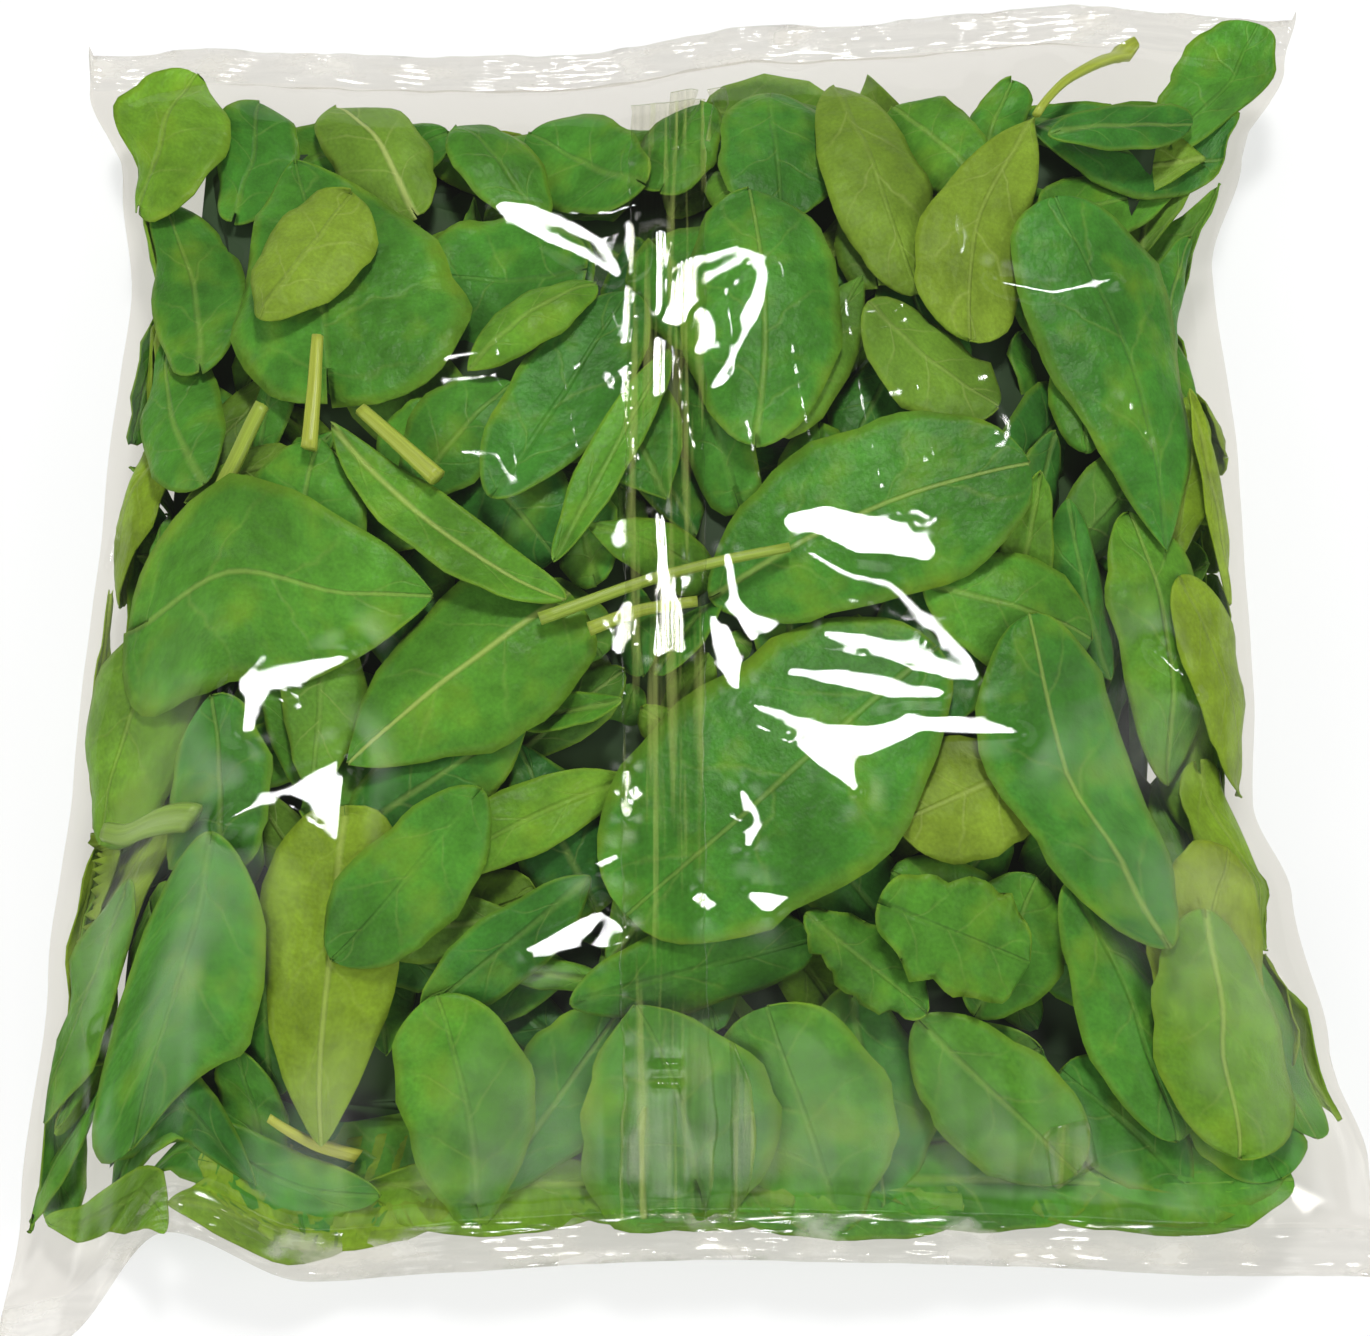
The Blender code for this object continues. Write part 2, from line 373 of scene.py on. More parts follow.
plan_s, plan_t = map_place(plan_x, plan_y)
plan_film = film_at(plan_s, plan_t)
smooth_height = plan_film[..., 2]
slope_y, slope_x = np.gradient(smooth_height, BUILD_PITCH)
spots = np.stack([plan_x, plan_y, smooth_height], -1)
to_camera = CAMERA_AT - spots
to_light = GLINT_AT - spots
halfway = to_camera / np.linalg.norm(to_camera, axis=-1, keepdims=True)
halfway = halfway + to_light / np.linalg.norm(to_light, axis=-1, keepdims=True)
to_halfway_x, to_halfway_y = -halfway[..., 0] / halfway[..., 2], -halfway[..., 1] / halfway[..., 2]
glint = np.max([stroke_share(points) for points in GLINTS], axis=0)
in_body = np.clip(plumpness(plan_t / FLAT_LENGTH) * crown(plan_s / HALF) * 1.4, 0, 1)
hold = HOLD + 0.5 * (1 - in_body) ** 2


def pushed(height_x, height_y):
    """The push on each place from the wished slopes between it and its neighbours."""
    push = np.zeros_like(plan_x)
    push[:, :-1] -= height_x
    push[:, 1:] += height_x
    push[:-1] -= height_y
    push[1:] += height_y
    return push


def best_height(height, want_x, want_y, weight, steps):
    """The height whose slopes fit the wishes best, by conjugate gradients from a first guess."""
    weight_x, weight_y = (weight[:, 1:] + weight[:, :-1]) / 2, (weight[1:] + weight[:-1]) / 2
    held = pushed(weight_x * np.diff(height, axis=1), weight_y * np.diff(height, axis=0)) + hold * height
    wish = pushed(weight_x * (want_x[:, 1:] + want_x[:, :-1]) / 2, weight_y * (want_y[1:] + want_y[:-1]) / 2)
    rest = wish - held
    move, size = rest.copy(), (rest * rest).sum()
    for _ in range(steps):
        held = pushed(weight_x * np.diff(move, axis=1), weight_y * np.diff(move, axis=0)) + hold * move
        step = size / (move * held).sum()
        height = height + step * move
        rest = rest - step * held
        new_size = (rest * rest).sum()
        move, size = rest + new_size / size * move, new_size
    return height


# Long shallow pleats run along the bag, so the film glints in points where it would else glint in rings.
pleat_share = (plan_x + 0.12 * (plan_y - 60) + 4 * np.sin(plan_y / 35) + 3 * np.sin(plan_x / 40)) / 26
pleats = 1.55 * np.abs(pleat_share % 1 - 0.5) * 2 * in_body
pleats *= np.clip((plan_y - 6) / 20, 0, 1) * np.clip((122 - plan_y) / 16, 0, 1)
pleat_y, pleat_x = np.gradient(pleats, BUILD_PITCH)

# Beside the strokes the film must not flash, so any slope too near the halfway one is asked to turn away.
want_x = glint * (to_halfway_x - slope_x) + (1 - glint) * pleat_x
want_y = glint * (to_halfway_y - slope_y) + (1 - glint) * pleat_y
weight = np.maximum(GIVE, glint)
lift = np.zeros_like(plan_x)
for turn in range(8):
    lift = best_height(lift, want_x, want_y, weight, STEPS if turn == 0 else STEPS // 3)
    lift_y, lift_x = np.gradient(lift, BUILD_PITCH)
    off_x, off_y = slope_x + lift_x - to_halfway_x, slope_y + lift_y - to_halfway_y
    off = np.hypot(off_x, off_y) + 1e-6
    flashes = (off < FLASH) & (glint < 0.05)
    away_x, away_y = off_x / off * FLASH * 1.5, off_y / off * FLASH * 1.5
    want_x = np.where(flashes, to_halfway_x + away_x - slope_x, want_x - glint * off_x)  # ask for what is missing
    want_y = np.where(flashes, to_halfway_y + away_y - slope_y, want_y - glint * off_y)
    weight = np.where(flashes, 0.5, weight)
    print(f"pass {turn}: {int(flashes.sum())} mm2 still flash, film moved {lift.min():.1f} to {lift.max():.1f} mm")


def plan_value(plan, x, y):
    """Reads a plan at any place, between its points."""
    column = np.clip((x - plan_x[0, 0]) / BUILD_PITCH, 0, plan.shape[1] - 1.001)
    row = np.clip((y - plan_y[0, 0]) / BUILD_PITCH, 0, plan.shape[0] - 1.001)
    i, j = column.astype(int), row.astype(int)
    a, b = column - i, row - j
    near = plan[j, i] * (1 - a) + plan[j, i + 1] * a
    far = plan[j + 1, i] * (1 - a) + plan[j + 1, i + 1] * a
    return near * (1 - b) + far * b


# %% [markdown]
# ## How leaves settle
#
# Loose leaves end up pressed flat against the film, each under the ones before it. A physics run of hundreds
# of leaves would be slow and would never lie the same way twice. Here each leaf is pushed up against what is
# already there, tilting and bending a little to lie as high as it can. A depth chart over the flat map keeps
# the underside of what has been laid.

# %% The depth chart
CELL = 2.0
SHEET_GAP = 0.9
LEAF_THICK = 0.35
chart_columns, chart_rows = int(round(4 * HALF / CELL)), int(FLAT_LENGTH / CELL) + 1
chart_s, chart_t = np.meshgrid(np.arange(chart_columns) * CELL - HALF, np.arange(chart_rows) * CELL)
chart_film = film_at(chart_s, chart_t)
chart = np.full(chart_s.shape, 0.7)
on_top = chart_s <= HALF
chart += np.where(on_top, np.clip(-plan_value(lift, chart_film[..., 0], chart_film[..., 1]), 0, 6), 0)


def room(s, t):
    """The deepest a leaf may lie: halfway to the other film."""
    side = np.abs((s + HALF) % (2 * HALF) - HALF) / HALF
    share = np.interp(side, ARC_ABOVE, SHARES)
    half_thick = plumpness(t / FLAT_LENGTH) * crown(share) * (RISE_ABOVE + DROP_BELOW) / 2
    upright = np.abs(film_normal(s, t)[..., 2])
    return half_thick / np.maximum(upright, 0.2) + 4.5 * plumpness(t / FLAT_LENGTH)


def chart_cell(s, t):
    column = (np.round((s + HALF) / CELL).astype(int)) % chart_columns
    row = np.clip(np.round(t / CELL).astype(int), 0, chart_rows - 1)
    return row, column


# %% How a blade is drawn on the flat map
def profile(leaf, v):
    """The blade's width from its base (v = 0) to its tip (v = 1), as a share of its greatest width."""
    at_base, at_tip = leaf["base_curve"], leaf["tip_curve"]
    widest = at_base / (at_base + at_tip)
    v = np.clip(v, 0, 1)
    return (v / widest) ** at_base * ((1 - v) / (1 - widest)) ** at_tip + 0.01


def blade(leaf, u, v):
    """Flat places and relief of a blade. Relief is how much deeper than its plane each place lies."""
    base, tip = leaf["base"], leaf["tip"]
    run = tip - base
    length = np.hypot(*run)
    ahead = run / length
    aside = np.array([ahead[1], -ahead[0]])
    wide = profile(leaf, v)
    edge = 1 + 0.035 * np.sin(9 * v + leaf["turn"]) * np.sign(u) + 0.02 * np.sin(23 * v + 2 * leaf["turn"])
    a = length * v - leaf["lobe"] * np.abs(u) ** 1.7 * (1 - v) ** 3
    knots = np.linspace(0, 1, leaf["bites"].shape[1])
    bite = np.where(u > 0, np.interp(v, knots, leaf["bites"][0]), np.interp(v, knots, leaf["bites"][1]))
    edge = edge * (1 - (0.10 + leaf["torn"]) * bite)
    b = leaf["width"] / 2 * wide * u * edge * (1 + leaf["skew"] * np.sign(u)) + leaf["bow"] * 4 * v * (1 - v)
    s = base[0] + ahead[0] * a + aside[0] * b
    t = base[1] + ahead[1] * a + aside[1] * b
    relief = leaf["cup"] * (u * u) * wide + leaf["fold"] * (1 - np.abs(u)) * wide
    relief = relief + leaf["ruffle"] * np.sin(2 * math.pi * leaf["waves"] * v + leaf["turn"] + u) * np.abs(u) ** 3
    relief = relief + leaf["droop"] * np.maximum(u * np.sign(leaf["droop"]), 0) ** 2 * np.sign(leaf["droop"])
    relief = relief + leaf["curl"] * v**5 + 0.5 * np.sin(3.1 * u + 7 * v + leaf["turn"]) * np.sin(11 * v + 2.3 * leaf["turn"])
    return s, t, relief, a, b


# %% How a blade finds its place
TILTS = np.array([(p, q, r) for p in np.linspace(-7, 7, 9) for q in np.linspace(-5, 5, 7) for r in np.linspace(-3, 4, 5)])
sample_u, sample_v = (grid.ravel() for grid in np.meshgrid(np.linspace(-1, 1, 27), np.linspace(0, 1, 37)))
rough_pick = np.flatnonzero((np.arange(27 * 37) % 27 % 2 == 0) & (np.arange(27 * 37) // 27 % 2 == 0))


def tilt_of(leaf, u, v, p, q, r):
    return p * (2 * v - 1) + q * u * profile(leaf, v) + r * (2 * v - 1) ** 2


def settle(leaf, most=99.0):
    """Pushes a blade up against the chart, and marks the chart. False if there is no room for it."""
    s, t, relief, _, _ = blade(leaf, sample_u, sample_v)
    cell = chart_cell(s, t)
    above = chart[cell]
    if above.mean() + 1 > most:
        return False
    pick = rough_pick if most < 99 else slice(None)
    shapes = tilt_of(leaf, sample_u[None, pick], sample_v[None, pick], *TILTS.T[:, :, None])
    lifts = ((above + SHEET_GAP - relief)[pick] - shapes).max(1)
    means = lifts + shapes.mean(1) + 0.06 * np.abs(TILTS).sum(1)
    best = int(means.argmin())
    depth = lifts[best] + tilt_of(leaf, sample_u, sample_v, *TILTS[best]) + relief
    if depth.mean() > most or (most < 99 and (depth - room(s, t)).max() > 0):
        return False
    leaf["lie"] = (lifts[best], *TILTS[best])
    np.maximum.at(chart, cell, depth + LEAF_THICK)
    return True


def blade_depth(leaf, u, v, relief):
    lift_by, p, q, r = leaf["lie"]
    return lift_by + tilt_of(leaf, u, v, p, q, r) + relief


def new_leaf(base, tip, width, shape="oval", tone=0.5, **more):
    """One leaf, with base and tip on the flat map. Tone runs from dark (0) to pale yellow-green (1)."""
    base_curve, tip_curve, lobe = SHAPES[shape]
    leaf = dict(
        base=np.array(base, float), tip=np.array(tip, float), width=width, base_curve=base_curve,
        tip_curve=tip_curve, lobe=lobe, tone=tone, bow=0.0, cup=ODDS.uniform(0.2, 3.2), fold=0.0, droop=0.0,
        ruffle=ODDS.uniform(0.3, 0.9), waves=ODDS.uniform(1.5, 3.0), turn=ODDS.uniform(0, 6.28),
        rough=ODDS.uniform(0, 1), rib=ODDS.uniform(0.03, 0.3), curl=ODDS.uniform(-0.5, 2.5), torn=0.0,
        skew=ODDS.uniform(-0.08, 0.08), bites=ODDS.uniform(0, 1, (2, 14)),
    )
    leaf.update(more)
    return leaf


SHAPES = {  # how blunt the base and the tip are (0.5 is round, 1 is pointed), and the lobe behind the stem in mm
    "oval": (0.58, 0.50, 3.0),
    "round": (0.46, 0.44, 3.0),
    "spade": (0.36, 0.80, 7.0),
    "spoon": (0.95, 0.48, 0.0),
    "long": (0.70, 0.62, 1.0),
}
print(len(TILTS), "ways to lie are tried for each leaf")

# %% [markdown]
# ## The leaves that show
#
# Each row is one leaf that lies against the upper film, placed from the top of the heap down: where
# its blade begins, where its tip is, its width, its outline, how pale it is, and what is special about it.
# `stem` rows are leaf stalks that lie free across the heap.

# %% Leaves against the upper film, in mm across and along the bag
SHOWN = (
    ("stem", ((21, 8), (-8, 0), (-30, -9)), 1.4, 0.72),
    ("stem", ((-79, 58), (-79, 45), (-79.5, 31)), 1.7, 0.9),
    ("stem", ((77, 117), (84, 128), (92, 135), (102, 142)), 1.5, 0.85),
    ("stem", ((-122, -47), (-111, -47), (-101, -47)), 2.4, 0.5),
    # Painted light: the three narrow leaves below lie along the side folds, and their pale tone stands for the
    # yellow-green glow at the bag's edges.
    ("leaf", (-128, 8), (-138, -44), 9, "long", 0.95, dict(cup=0, curl=0)),
    ("leaf", (-136, -40), (-142, -90), 9, "long", 0.90, dict(cup=0, curl=0)),
    ("leaf", (109, 50), (117, 4), 9, "long", 0.95, dict(cup=0, curl=0)),
    ("leaf", (82, 112), (114, 119), 14, "oval", 0.15, dict(cup=1)),
    ("leaf", (-91, 66), (-74, 97), 26, "oval", 0.80, dict(under=1)),
    ("leaf", (102, 12), (80, 94), 43, "spoon", 0.26, dict(bow=6, cup=2.5, rib=0.06)),
    ("leaf", (77, 119), (61, 60), 31, "spoon", 0.80, dict(under=1, bow=3)),
    ("leaf", (7, 0), (71, 27), 44, "oval", 0.36, dict(bow=-4, cup=1.0, rib=0.5)),
    ("leaf", (-113, -4), (-53, -2), 50, "spade", 0.50, dict(cup=0.6, rib=0.35)),
    ("leaf", (-43, -46), (-71, -77), 25, "oval", 0.42, dict(bow=-1)),
    ("leaf", (-97, -53), (-113, -111), 35, "oval", 0.38, dict(bow=-2, cup=1.2, rib=0.1)),
    ("leaf", (96, -70), (70, -6), 36, "oval", 0.30, dict(bow=-3, rib=0.45)),
    ("leaf", (106, -66), (112, -113), 34, "oval", 0.70, dict(cup=1.5, rib=0.5, lobe=2)),
    ("leaf", (102, -90), (112, -50), 30, "oval", 1.0, dict(cup=0.5, rib=0.1)),
    ("leaf", (-116, -62), (-134, -104), 24, "oval", 0.60, dict(cup=0.5)),
    ("leaf", (105, 4), (119, -36), 26, "round", 0.92, dict(cup=0.5, curl=0)),
    ("leaf", (111, -34), (125, -68), 26, "round", 0.85, dict(cup=0.5, curl=0)),
    ("leaf", (115, -62), (130, -108), 27, "oval", 0.55, dict(cup=0.5, curl=0)),
    ("leaf", (50, -14), (-12, -69), 55, "round", 0.33, dict(cup=0.8)),
    ("stem", ((2, -5), (-10, -7), (-20, -11)), 1.5, 0.8),
    ("leaf", (-125, 101), (-113, 137), 30, "round", 0.72, dict()),
    ("leaf", (41, -67), (69, -77), 29, "round", 0.50, dict(ruffle=2.4, waves=5.5, torn=0.26)),
    ("leaf", (26, -70), (48, -87), 20, "oval", 0.50, dict(ruffle=2.4, waves=4.5, torn=0.4)),
    ("leaf", (-42, -123), (-50, -84), 27, "oval", 0.55, dict(bow=2)),
    ("leaf", (2, -118), (-10, -86), 40, "spade", 0.46, dict(cup=0.5, bow=2, rib=0.1)),
    ("leaf", (30, -124), (16, -86), 36, "oval", 0.50, dict(cup=0.5, rib=0.1)),
    ("stem", ((-91, 43), (-97, 31), (-103, 20)), 2.2, 0.75),
    ("stem", ((-69, 40), (-60, 31), (-52, 23)), 1.9, 0.85),
    ("leaf", (-78, 53), (-88, 110), 60, "spade", 0.42, dict(lobe=10, skew=0.16, rib=0.1, ruffle=1.6)),
    ("leaf", (-75, 37), (-25, -5), 15, "long", 0.62, dict(bow=3, fold=2.5, rib=0.7)),
    ("leaf", (-26, -3), (-70, -37), 40, "spade", 0.52, dict(fold=-1.5, rib=0.8, lobe=2)),
    ("leaf", (33, 124), (50, 72), 25, "oval", 0.72, dict(under=1)),
    ("leaf", (112, 118), (130, 147), 30, "round", 0.45, dict(ruffle=1.5, rib=0.05)),
    ("leaf", (79, -63), (100, -111), 26, "oval", 0.40, dict(bow=-3)),
    ("leaf", (68, -38), (42, -50), 27, "round", 0.85, dict(under=1)),
    ("stem", ((63, -36), (57, -40), (49, -46)), 0.9, 0.95),
    ("leaf", (-70, -48), (-73, -112), 31, "spade", 0.90, dict(bow=1, rib=0.5, lobe=2)),
    ("leaf", (-12, -41), (-50, -60), 17, "long", 0.68, dict(bow=2, fold=1.5)),
    ("leaf", (-46, 50), (-20, 72), 15, "long", 0.66, dict(bow=-1)),
    ("leaf", (-25, 76), (-60, 81), 37, "round", 0.35, dict()),
    ("leaf", (-27, 4), (-4, 53), 11, "long", 0.60, dict(fold=2)),
    ("leaf", (-39, 20), (-13, 72), 27, "oval", 0.22, dict(cup=-1)),
    ("leaf", (14, 33), (13, 94), 40, "oval", 0.36, dict(bow=3)),
    ("leaf", (18, 123), (20, 90), 29, "round", 0.28, dict()),
    ("leaf", (40, 62), (66, 42), 28, "round", 0.55, dict(under=1)),
    ("leaf", (-108, 57), (-121, 104), 25, "oval", 0.40, dict()),
    ("leaf", (-103, 26), (-119, 66), 20, "long", 0.42, dict(cup=2.5)),
    ("leaf", (-84, 4), (-79, 36), 34, "spade", 0.48, dict()),
    ("leaf", (-96, -56), (-98, -22), 26, "round", 0.32, dict()),
    ("leaf", (-110, -2), (-127, -48), 34, "round", 0.72, dict(rib=0.2)),
    ("leaf", (-117, -42), (-131, -88), 32, "round", 0.92, dict(rib=0.2)),
    ("leaf", (-118, 40), (-132, 6), 26, "oval", 0.9, dict(rib=0.2)),
    ("leaf", (49, -91), (79, -117), 28, "oval", 0.55, dict()),
    ("leaf", (107, -95), (121, -117), 28, "round", 0.35, dict()),
    ("leaf", (105, -34), (97, 22), 27, "oval", 0.62, dict(rib=0.3)),
    ("leaf", (52, 1), (85, -9), 28, "oval", 0.52, dict()),
    ("leaf", (72, 5), (74, 26), 14, "spade", 0.66, dict()),
    ("leaf", (-20, -62), (-54, -88), 17, "long", 0.20, dict()),
    ("leaf", (-62, -47), (-33, -29), 25, "spade", 0.14, dict()),
    ("leaf", (-14, -26), (-38, -27), 9, "long", 0.55, dict(fold=2)),
    ("leaf", (-58, 24), (-37, 48), 24, "oval", 0.40, dict()),
    ("leaf", (-46, 30), (-28, 8), 26, "round", 0.10, dict(ruffle=1.6)),
    ("leaf", (-64, 27), (-52, 45), 18, "oval", 0.50, dict()),
    ("leaf", (-104, 100), (-98, 131), 22, "round", 0.34, dict()),
    ("leaf", (-62, 100), (-80, 128), 25, "round", 0.60, dict(under=1, rib=0.9)),
    ("leaf", (-78, 102), (-104, 108), 22, "oval", 0.30, dict()),
    ("leaf", (-34, 98), (-52, 119), 20, "oval", 0.46, dict()),
    ("leaf", (-12, 100), (-36, 121), 22, "oval", 0.40, dict()),
    ("leaf", (-6, 100), (2, 123), 20, "round", 0.44, dict()),
    ("leaf", (62, 103), (45, 125), 19, "round", 0.60, dict()),
    ("leaf", (66, 108), (72, 130), 16, "oval", 0.36, dict()),
    ("leaf", (78, 118), (126, 112), 28, "long", 0.12, dict(cup=2)),
    ("leaf", (74, 124), (100, 120), 14, "oval", 0.2, dict()),
    ("leaf", (80, 94), (114, 108), 25, "round", 0.55, dict()),
    ("leaf", (92, 106), (112, 122), 20, "round", 0.25, dict()),
    ("leaf", (104, 58), (113, 90), 15, "oval", 0.3, dict()),
    ("leaf", (-94, 116), (-66, 122), 20, "round", 0.4, dict()),
    ("leaf", (100, 64), (104, 92), 16, "oval", 0.22, dict(ruffle=1.5)),
    ("leaf", (106, 12), (113, 52), 17, "long", 0.86, dict()),
    ("leaf", (112, -42), (113, -6), 17, "oval", 0.72, dict()),
    ("leaf", (104, -20), (116, -2), 14, "round", 0.80, dict(under=1)),
    ("leaf", (108, -60), (116, -30), 17, "oval", 0.62, dict()),
    ("leaf", (90, -16), (81, 22), 14, "long", 0.22, dict()),
    ("leaf", (-20, -85), (26, -74), 20, "oval", 0.36, dict()),
    ("leaf", (-38, -120), (-13, -88), 24, "oval", 0.38, dict()),
    ("leaf", (-16, -82), (-38, -80), 7, "long", 0.62, dict(fold=2)),
    ("leaf", (34, -86), (40, -122), 26, "oval", 0.28, dict()),
    ("leaf", (100, -118), (76, -98), 24, "oval", 0.32, dict()),
    ("leaf", (60, -86), (72, -60), 22, "oval", 0.45, dict()),
    ("leaf", (-130, -48), (-121, -76), 18, "round", 0.92, dict(under=1)),
    ("leaf", (-128, -10), (-130, -44), 10, "long", 0.95, dict()),
    ("leaf", (-110, 4), (-118, 24), 8, "long", 0.60, dict(fold=2)),
    ("stem", ((-110, 24), (-116, 14), (-119, 0), (-118, -10)), 1.6, 0.70),
    ("leaf", (-125, -78), (-129, -106), 9, "long", 0.62, dict()),
    ("leaf", (-120, -96), (-137, -125), 11, "long", 0.55, dict(bow=-2)),
    ("leaf", (-131, -125), (-105, -127), 9, "oval", 0.72, dict(bow=-6, cup=0, ruffle=0.1, curl=0)),
    ("leaf", (-88, -119), (-120, -110), 13, "long", 0.14, dict()),
    ("leaf", (-112, -118), (-62, -121), 13, "long", 0.36, dict(cup=0.3)),
    ("leaf", (-66, -121), (-14, -121), 13, "long", 0.74, dict(cup=0.3)),
    ("leaf", (34, -120), (84, -120), 14, "long", 0.42, dict(cup=0.3)),
    ("leaf", (-32, -119), (22, -121.5), 15, "long", 0.66, dict(cup=0.3)),
    ("leaf", (6, -120), (56, -122), 15, "oval", 0.5, dict(cup=0.3)),
    ("leaf", (40, -110), (72, -94), 22, "oval", 0.3, dict()),
    ("leaf", (70, -120), (124, -117), 16, "oval", 0.6, dict(cup=0.3)),
    ("leaf", (-104, -121), (-62, -124), 13, "long", 0.8, dict(cup=0.3)),
    ("stem", ((-84, -107), (-76, -112), (-67, -116)), 1.3, 1.0),
    ("leaf", (-86, -119), (-91, -94), 16, "oval", 0.40, dict()),
    ("leaf", (-62, -122), (-82, -118), 14, "oval", 0.30, dict()),
    ("leaf", (-86, -78), (-84, -104), 14, "oval", 0.34, dict()),
    ("leaf", (-98, -62), (-88, -90), 16, "oval", 0.46, dict()),
    ("leaf", (-118, -98), (-66, -110), 30, "oval", 0.20, dict()),
    ("leaf", (-80, -108), (-20, -112), 28, "oval", 0.50, dict()),
    ("leaf", (-34, -108), (24, -112), 28, "oval", 0.35, dict()),
    ("leaf", (14, -110), (70, -110), 28, "oval", 0.30, dict()),
    ("leaf", (84, -34), (106, 12), 24, "oval", 0.2, dict()),
    ("leaf", (58, -108), (124, -112), 28, "oval", 0.45, dict()),
    ("leaf", (-96, -116), (-44, -120), 18, "oval", 0.85, dict()),
    ("leaf", (-104, 116), (-54, 119), 20, "oval", 0.4, dict()),
    ("leaf", (-60, 119), (-6, 118), 20, "oval", 0.6, dict()),
    ("leaf", (-4, 118), (50, 119), 20, "oval", 0.3, dict()),
    ("leaf", (46, 119), (100, 117), 20, "oval", 0.5, dict()),
)
# Openings left dark between the leaves, as (x, y, radius).
GAPS = (
    (-62, 41, 5), (-17, 87, 6), (52, 78, 7), (45, 74, 5), (79, 28, 5), (86, -2, 3), (3, 40, 4), (-26, -18, 5),
    (-79, -107, 4), (56, -88, 6), (-38, -71, 5), (-57, -14, 4), (80, 108, 5), (-88, -118, 4), (72, -98, 4),
    (30, -90, 4), (-100, 48, 3), (-70, -27, 4), (88, 10, 3), (74, -84, 4), (-108, -118, 4), (-56, 64, 3),
)
# The film shows clear over these openings at the edge of the heap, so no leaf is laid there.
CLEAR = ((101, 134, 10), (117, 88, 9), (120, 8, 7), (-133, 60, 8), (-112, -122, 6))

# %% Lay the leaves that show
blades, stalks = [], []


def stalk(points, radius, tone):
    """A leaf stalk through places on the flat map, laid just under what is there."""
    points = np.array(points, float)
    knots = np.linspace(0, 1, len(points))
    fine = np.linspace(0, 1, 25)
    way = np.stack([np.interp(fine, knots, points[:, k]) for k in (0, 1)], -1)
    for _ in range(6):
        way[1:-1] = (way[:-2] + way[1:-1] * 2 + way[2:]) / 4
    cells = chart_cell(way[:, 0], way[:, 1])
    tilts = np.linspace(-6, 6, 13)[:, None] * (2 * fine - 1)
    lifts = (chart[cells] + SHEET_GAP + radius - tilts).max(1)
    best = int((lifts + 0.1 * np.abs(tilts).max(1)).argmin())
    depth = lifts[best] + tilts[best]
    for shift in (-1.4, 0.0, 1.4):
        np.maximum.at(chart, chart_cell(way[:, 0] + shift, way[:, 1] + shift), depth + radius)
    stalks.append(dict(way=way, depth=depth, radius=radius, tone=tone))


for kind, *row in SHOWN:
    if kind == "stem":
        places, radius, tone = row
        stalk([map_place(x, y) for x, y in places], radius, tone)
        continue
    base, tip, width, shape, tone, more = row
    leaf = new_leaf(map_place(*base), map_place(*tip), width, shape, tone, **more)
    settle(leaf)
    leaf["shown"] = True
    blades.append(leaf)
for places, least in ((GAPS, 6.5), (CLEAR, 60.0)):
    for x, y, radius in places:
        near = np.hypot(chart_film[..., 0] - x, chart_film[..., 1] - y) < radius
        chart[on_top & near] = np.maximum(chart[on_top & near], least)
depths = [leaf["lie"][0] for leaf in blades]
print(len(blades), "leaves and", len(stalks), "stalks lie", f"{min(depths):.1f} to {max(depths):.1f} mm under the film")

# %% [markdown]
# ## The rest of the heap
#
# The same leaves carry on round the sides and underneath, where nothing special shows. They are drawn at
# random, with a fixed seed, and a leaf that finds no room is left out.

# %% Fill in round the bag
def fill(count, most_tries, reach_round, sizes, most, where="all"):
    """Lays leaves at random places up to reach_round from the seam, wherever they find room."""
    laid = 0
    for _ in range(most_tries):
        if laid == count:
            break
        s = ODDS.uniform(-reach_round, reach_round)
        t = ODDS.uniform(SEAL_DEPTH + 6, FLAT_LENGTH - SEAL_DEPTH - 8)
        turn = ODDS.uniform(0, 2 * math.pi)
        if where == "ends":
            t = ODDS.uniform(16, 36) if ODDS.uniform() < 0.6 else FLAT_LENGTH - ODDS.uniform(18, 36)
            turn = ODDS.normal(0, 0.5)
        if where == "fold":
            s = math.copysign(HALF - abs(ODDS.normal(0, 9)), s)
            turn = math.pi / 2 + ODDS.normal(0, 0.35)
        length = ODDS.uniform(*sizes)
        width = length * ODDS.uniform(0.45, 0.72)
        shape = ("oval", "round", "spade", "spoon", "long")[int(ODDS.integers(0, 5))]
        reach = np.array([math.cos(turn), math.sin(turn)]) * length / 2
        centre = np.array([s, t])
        # Painted light: leaves near the side folds get a paler, yellower tone for the glow of light at the bag's edges.
        painted_fold_glow = math.exp(-((abs(s) - HALF) / 16) ** 2)
        tone = float(np.clip(ODDS.normal(0.38, 0.2) + 0.4 * painted_fold_glow, 0, 1))
        leaf = new_leaf(centre - reach, centre + reach, width, shape, tone, under=int(ODDS.uniform() < 0.3))
        if settle(leaf, most=most):
            leaf["shown"] = False
            blades.append(leaf)
            laid += 1
    print(laid, "leaves more, up to", reach_round, "mm round from the seam")


fill(140, 1000, 1.12 * HALF, (28, 56), 9.0)
fill(150, 1500, 1.12 * HALF, (20, 46), 15.0)
fill(120, 1000, 1.10 * HALF, (14, 32), 20.0)
fill(60, 700, HALF, (16, 38), 9.0, where="fold")
fill(80, 900, HALF, (16, 36), 7.0, where="ends")
fill(120, 900, 2 * HALF, (30, 60), 9.0)

# %% [markdown]
# ## Leaf blades as meshes
#
# A blade starts as a flat grid, which is exactly what a leaf is: its columns run across, and its rows along
# the midrib. Moving the grid's points to their places gives the outline, the cup and the bend in one step.
# Each point also keeps its place on the leaf, so the veins in the material can follow the blade.

# %% Build the blades
FINE, COARSE = (14, 22), (8, 11)


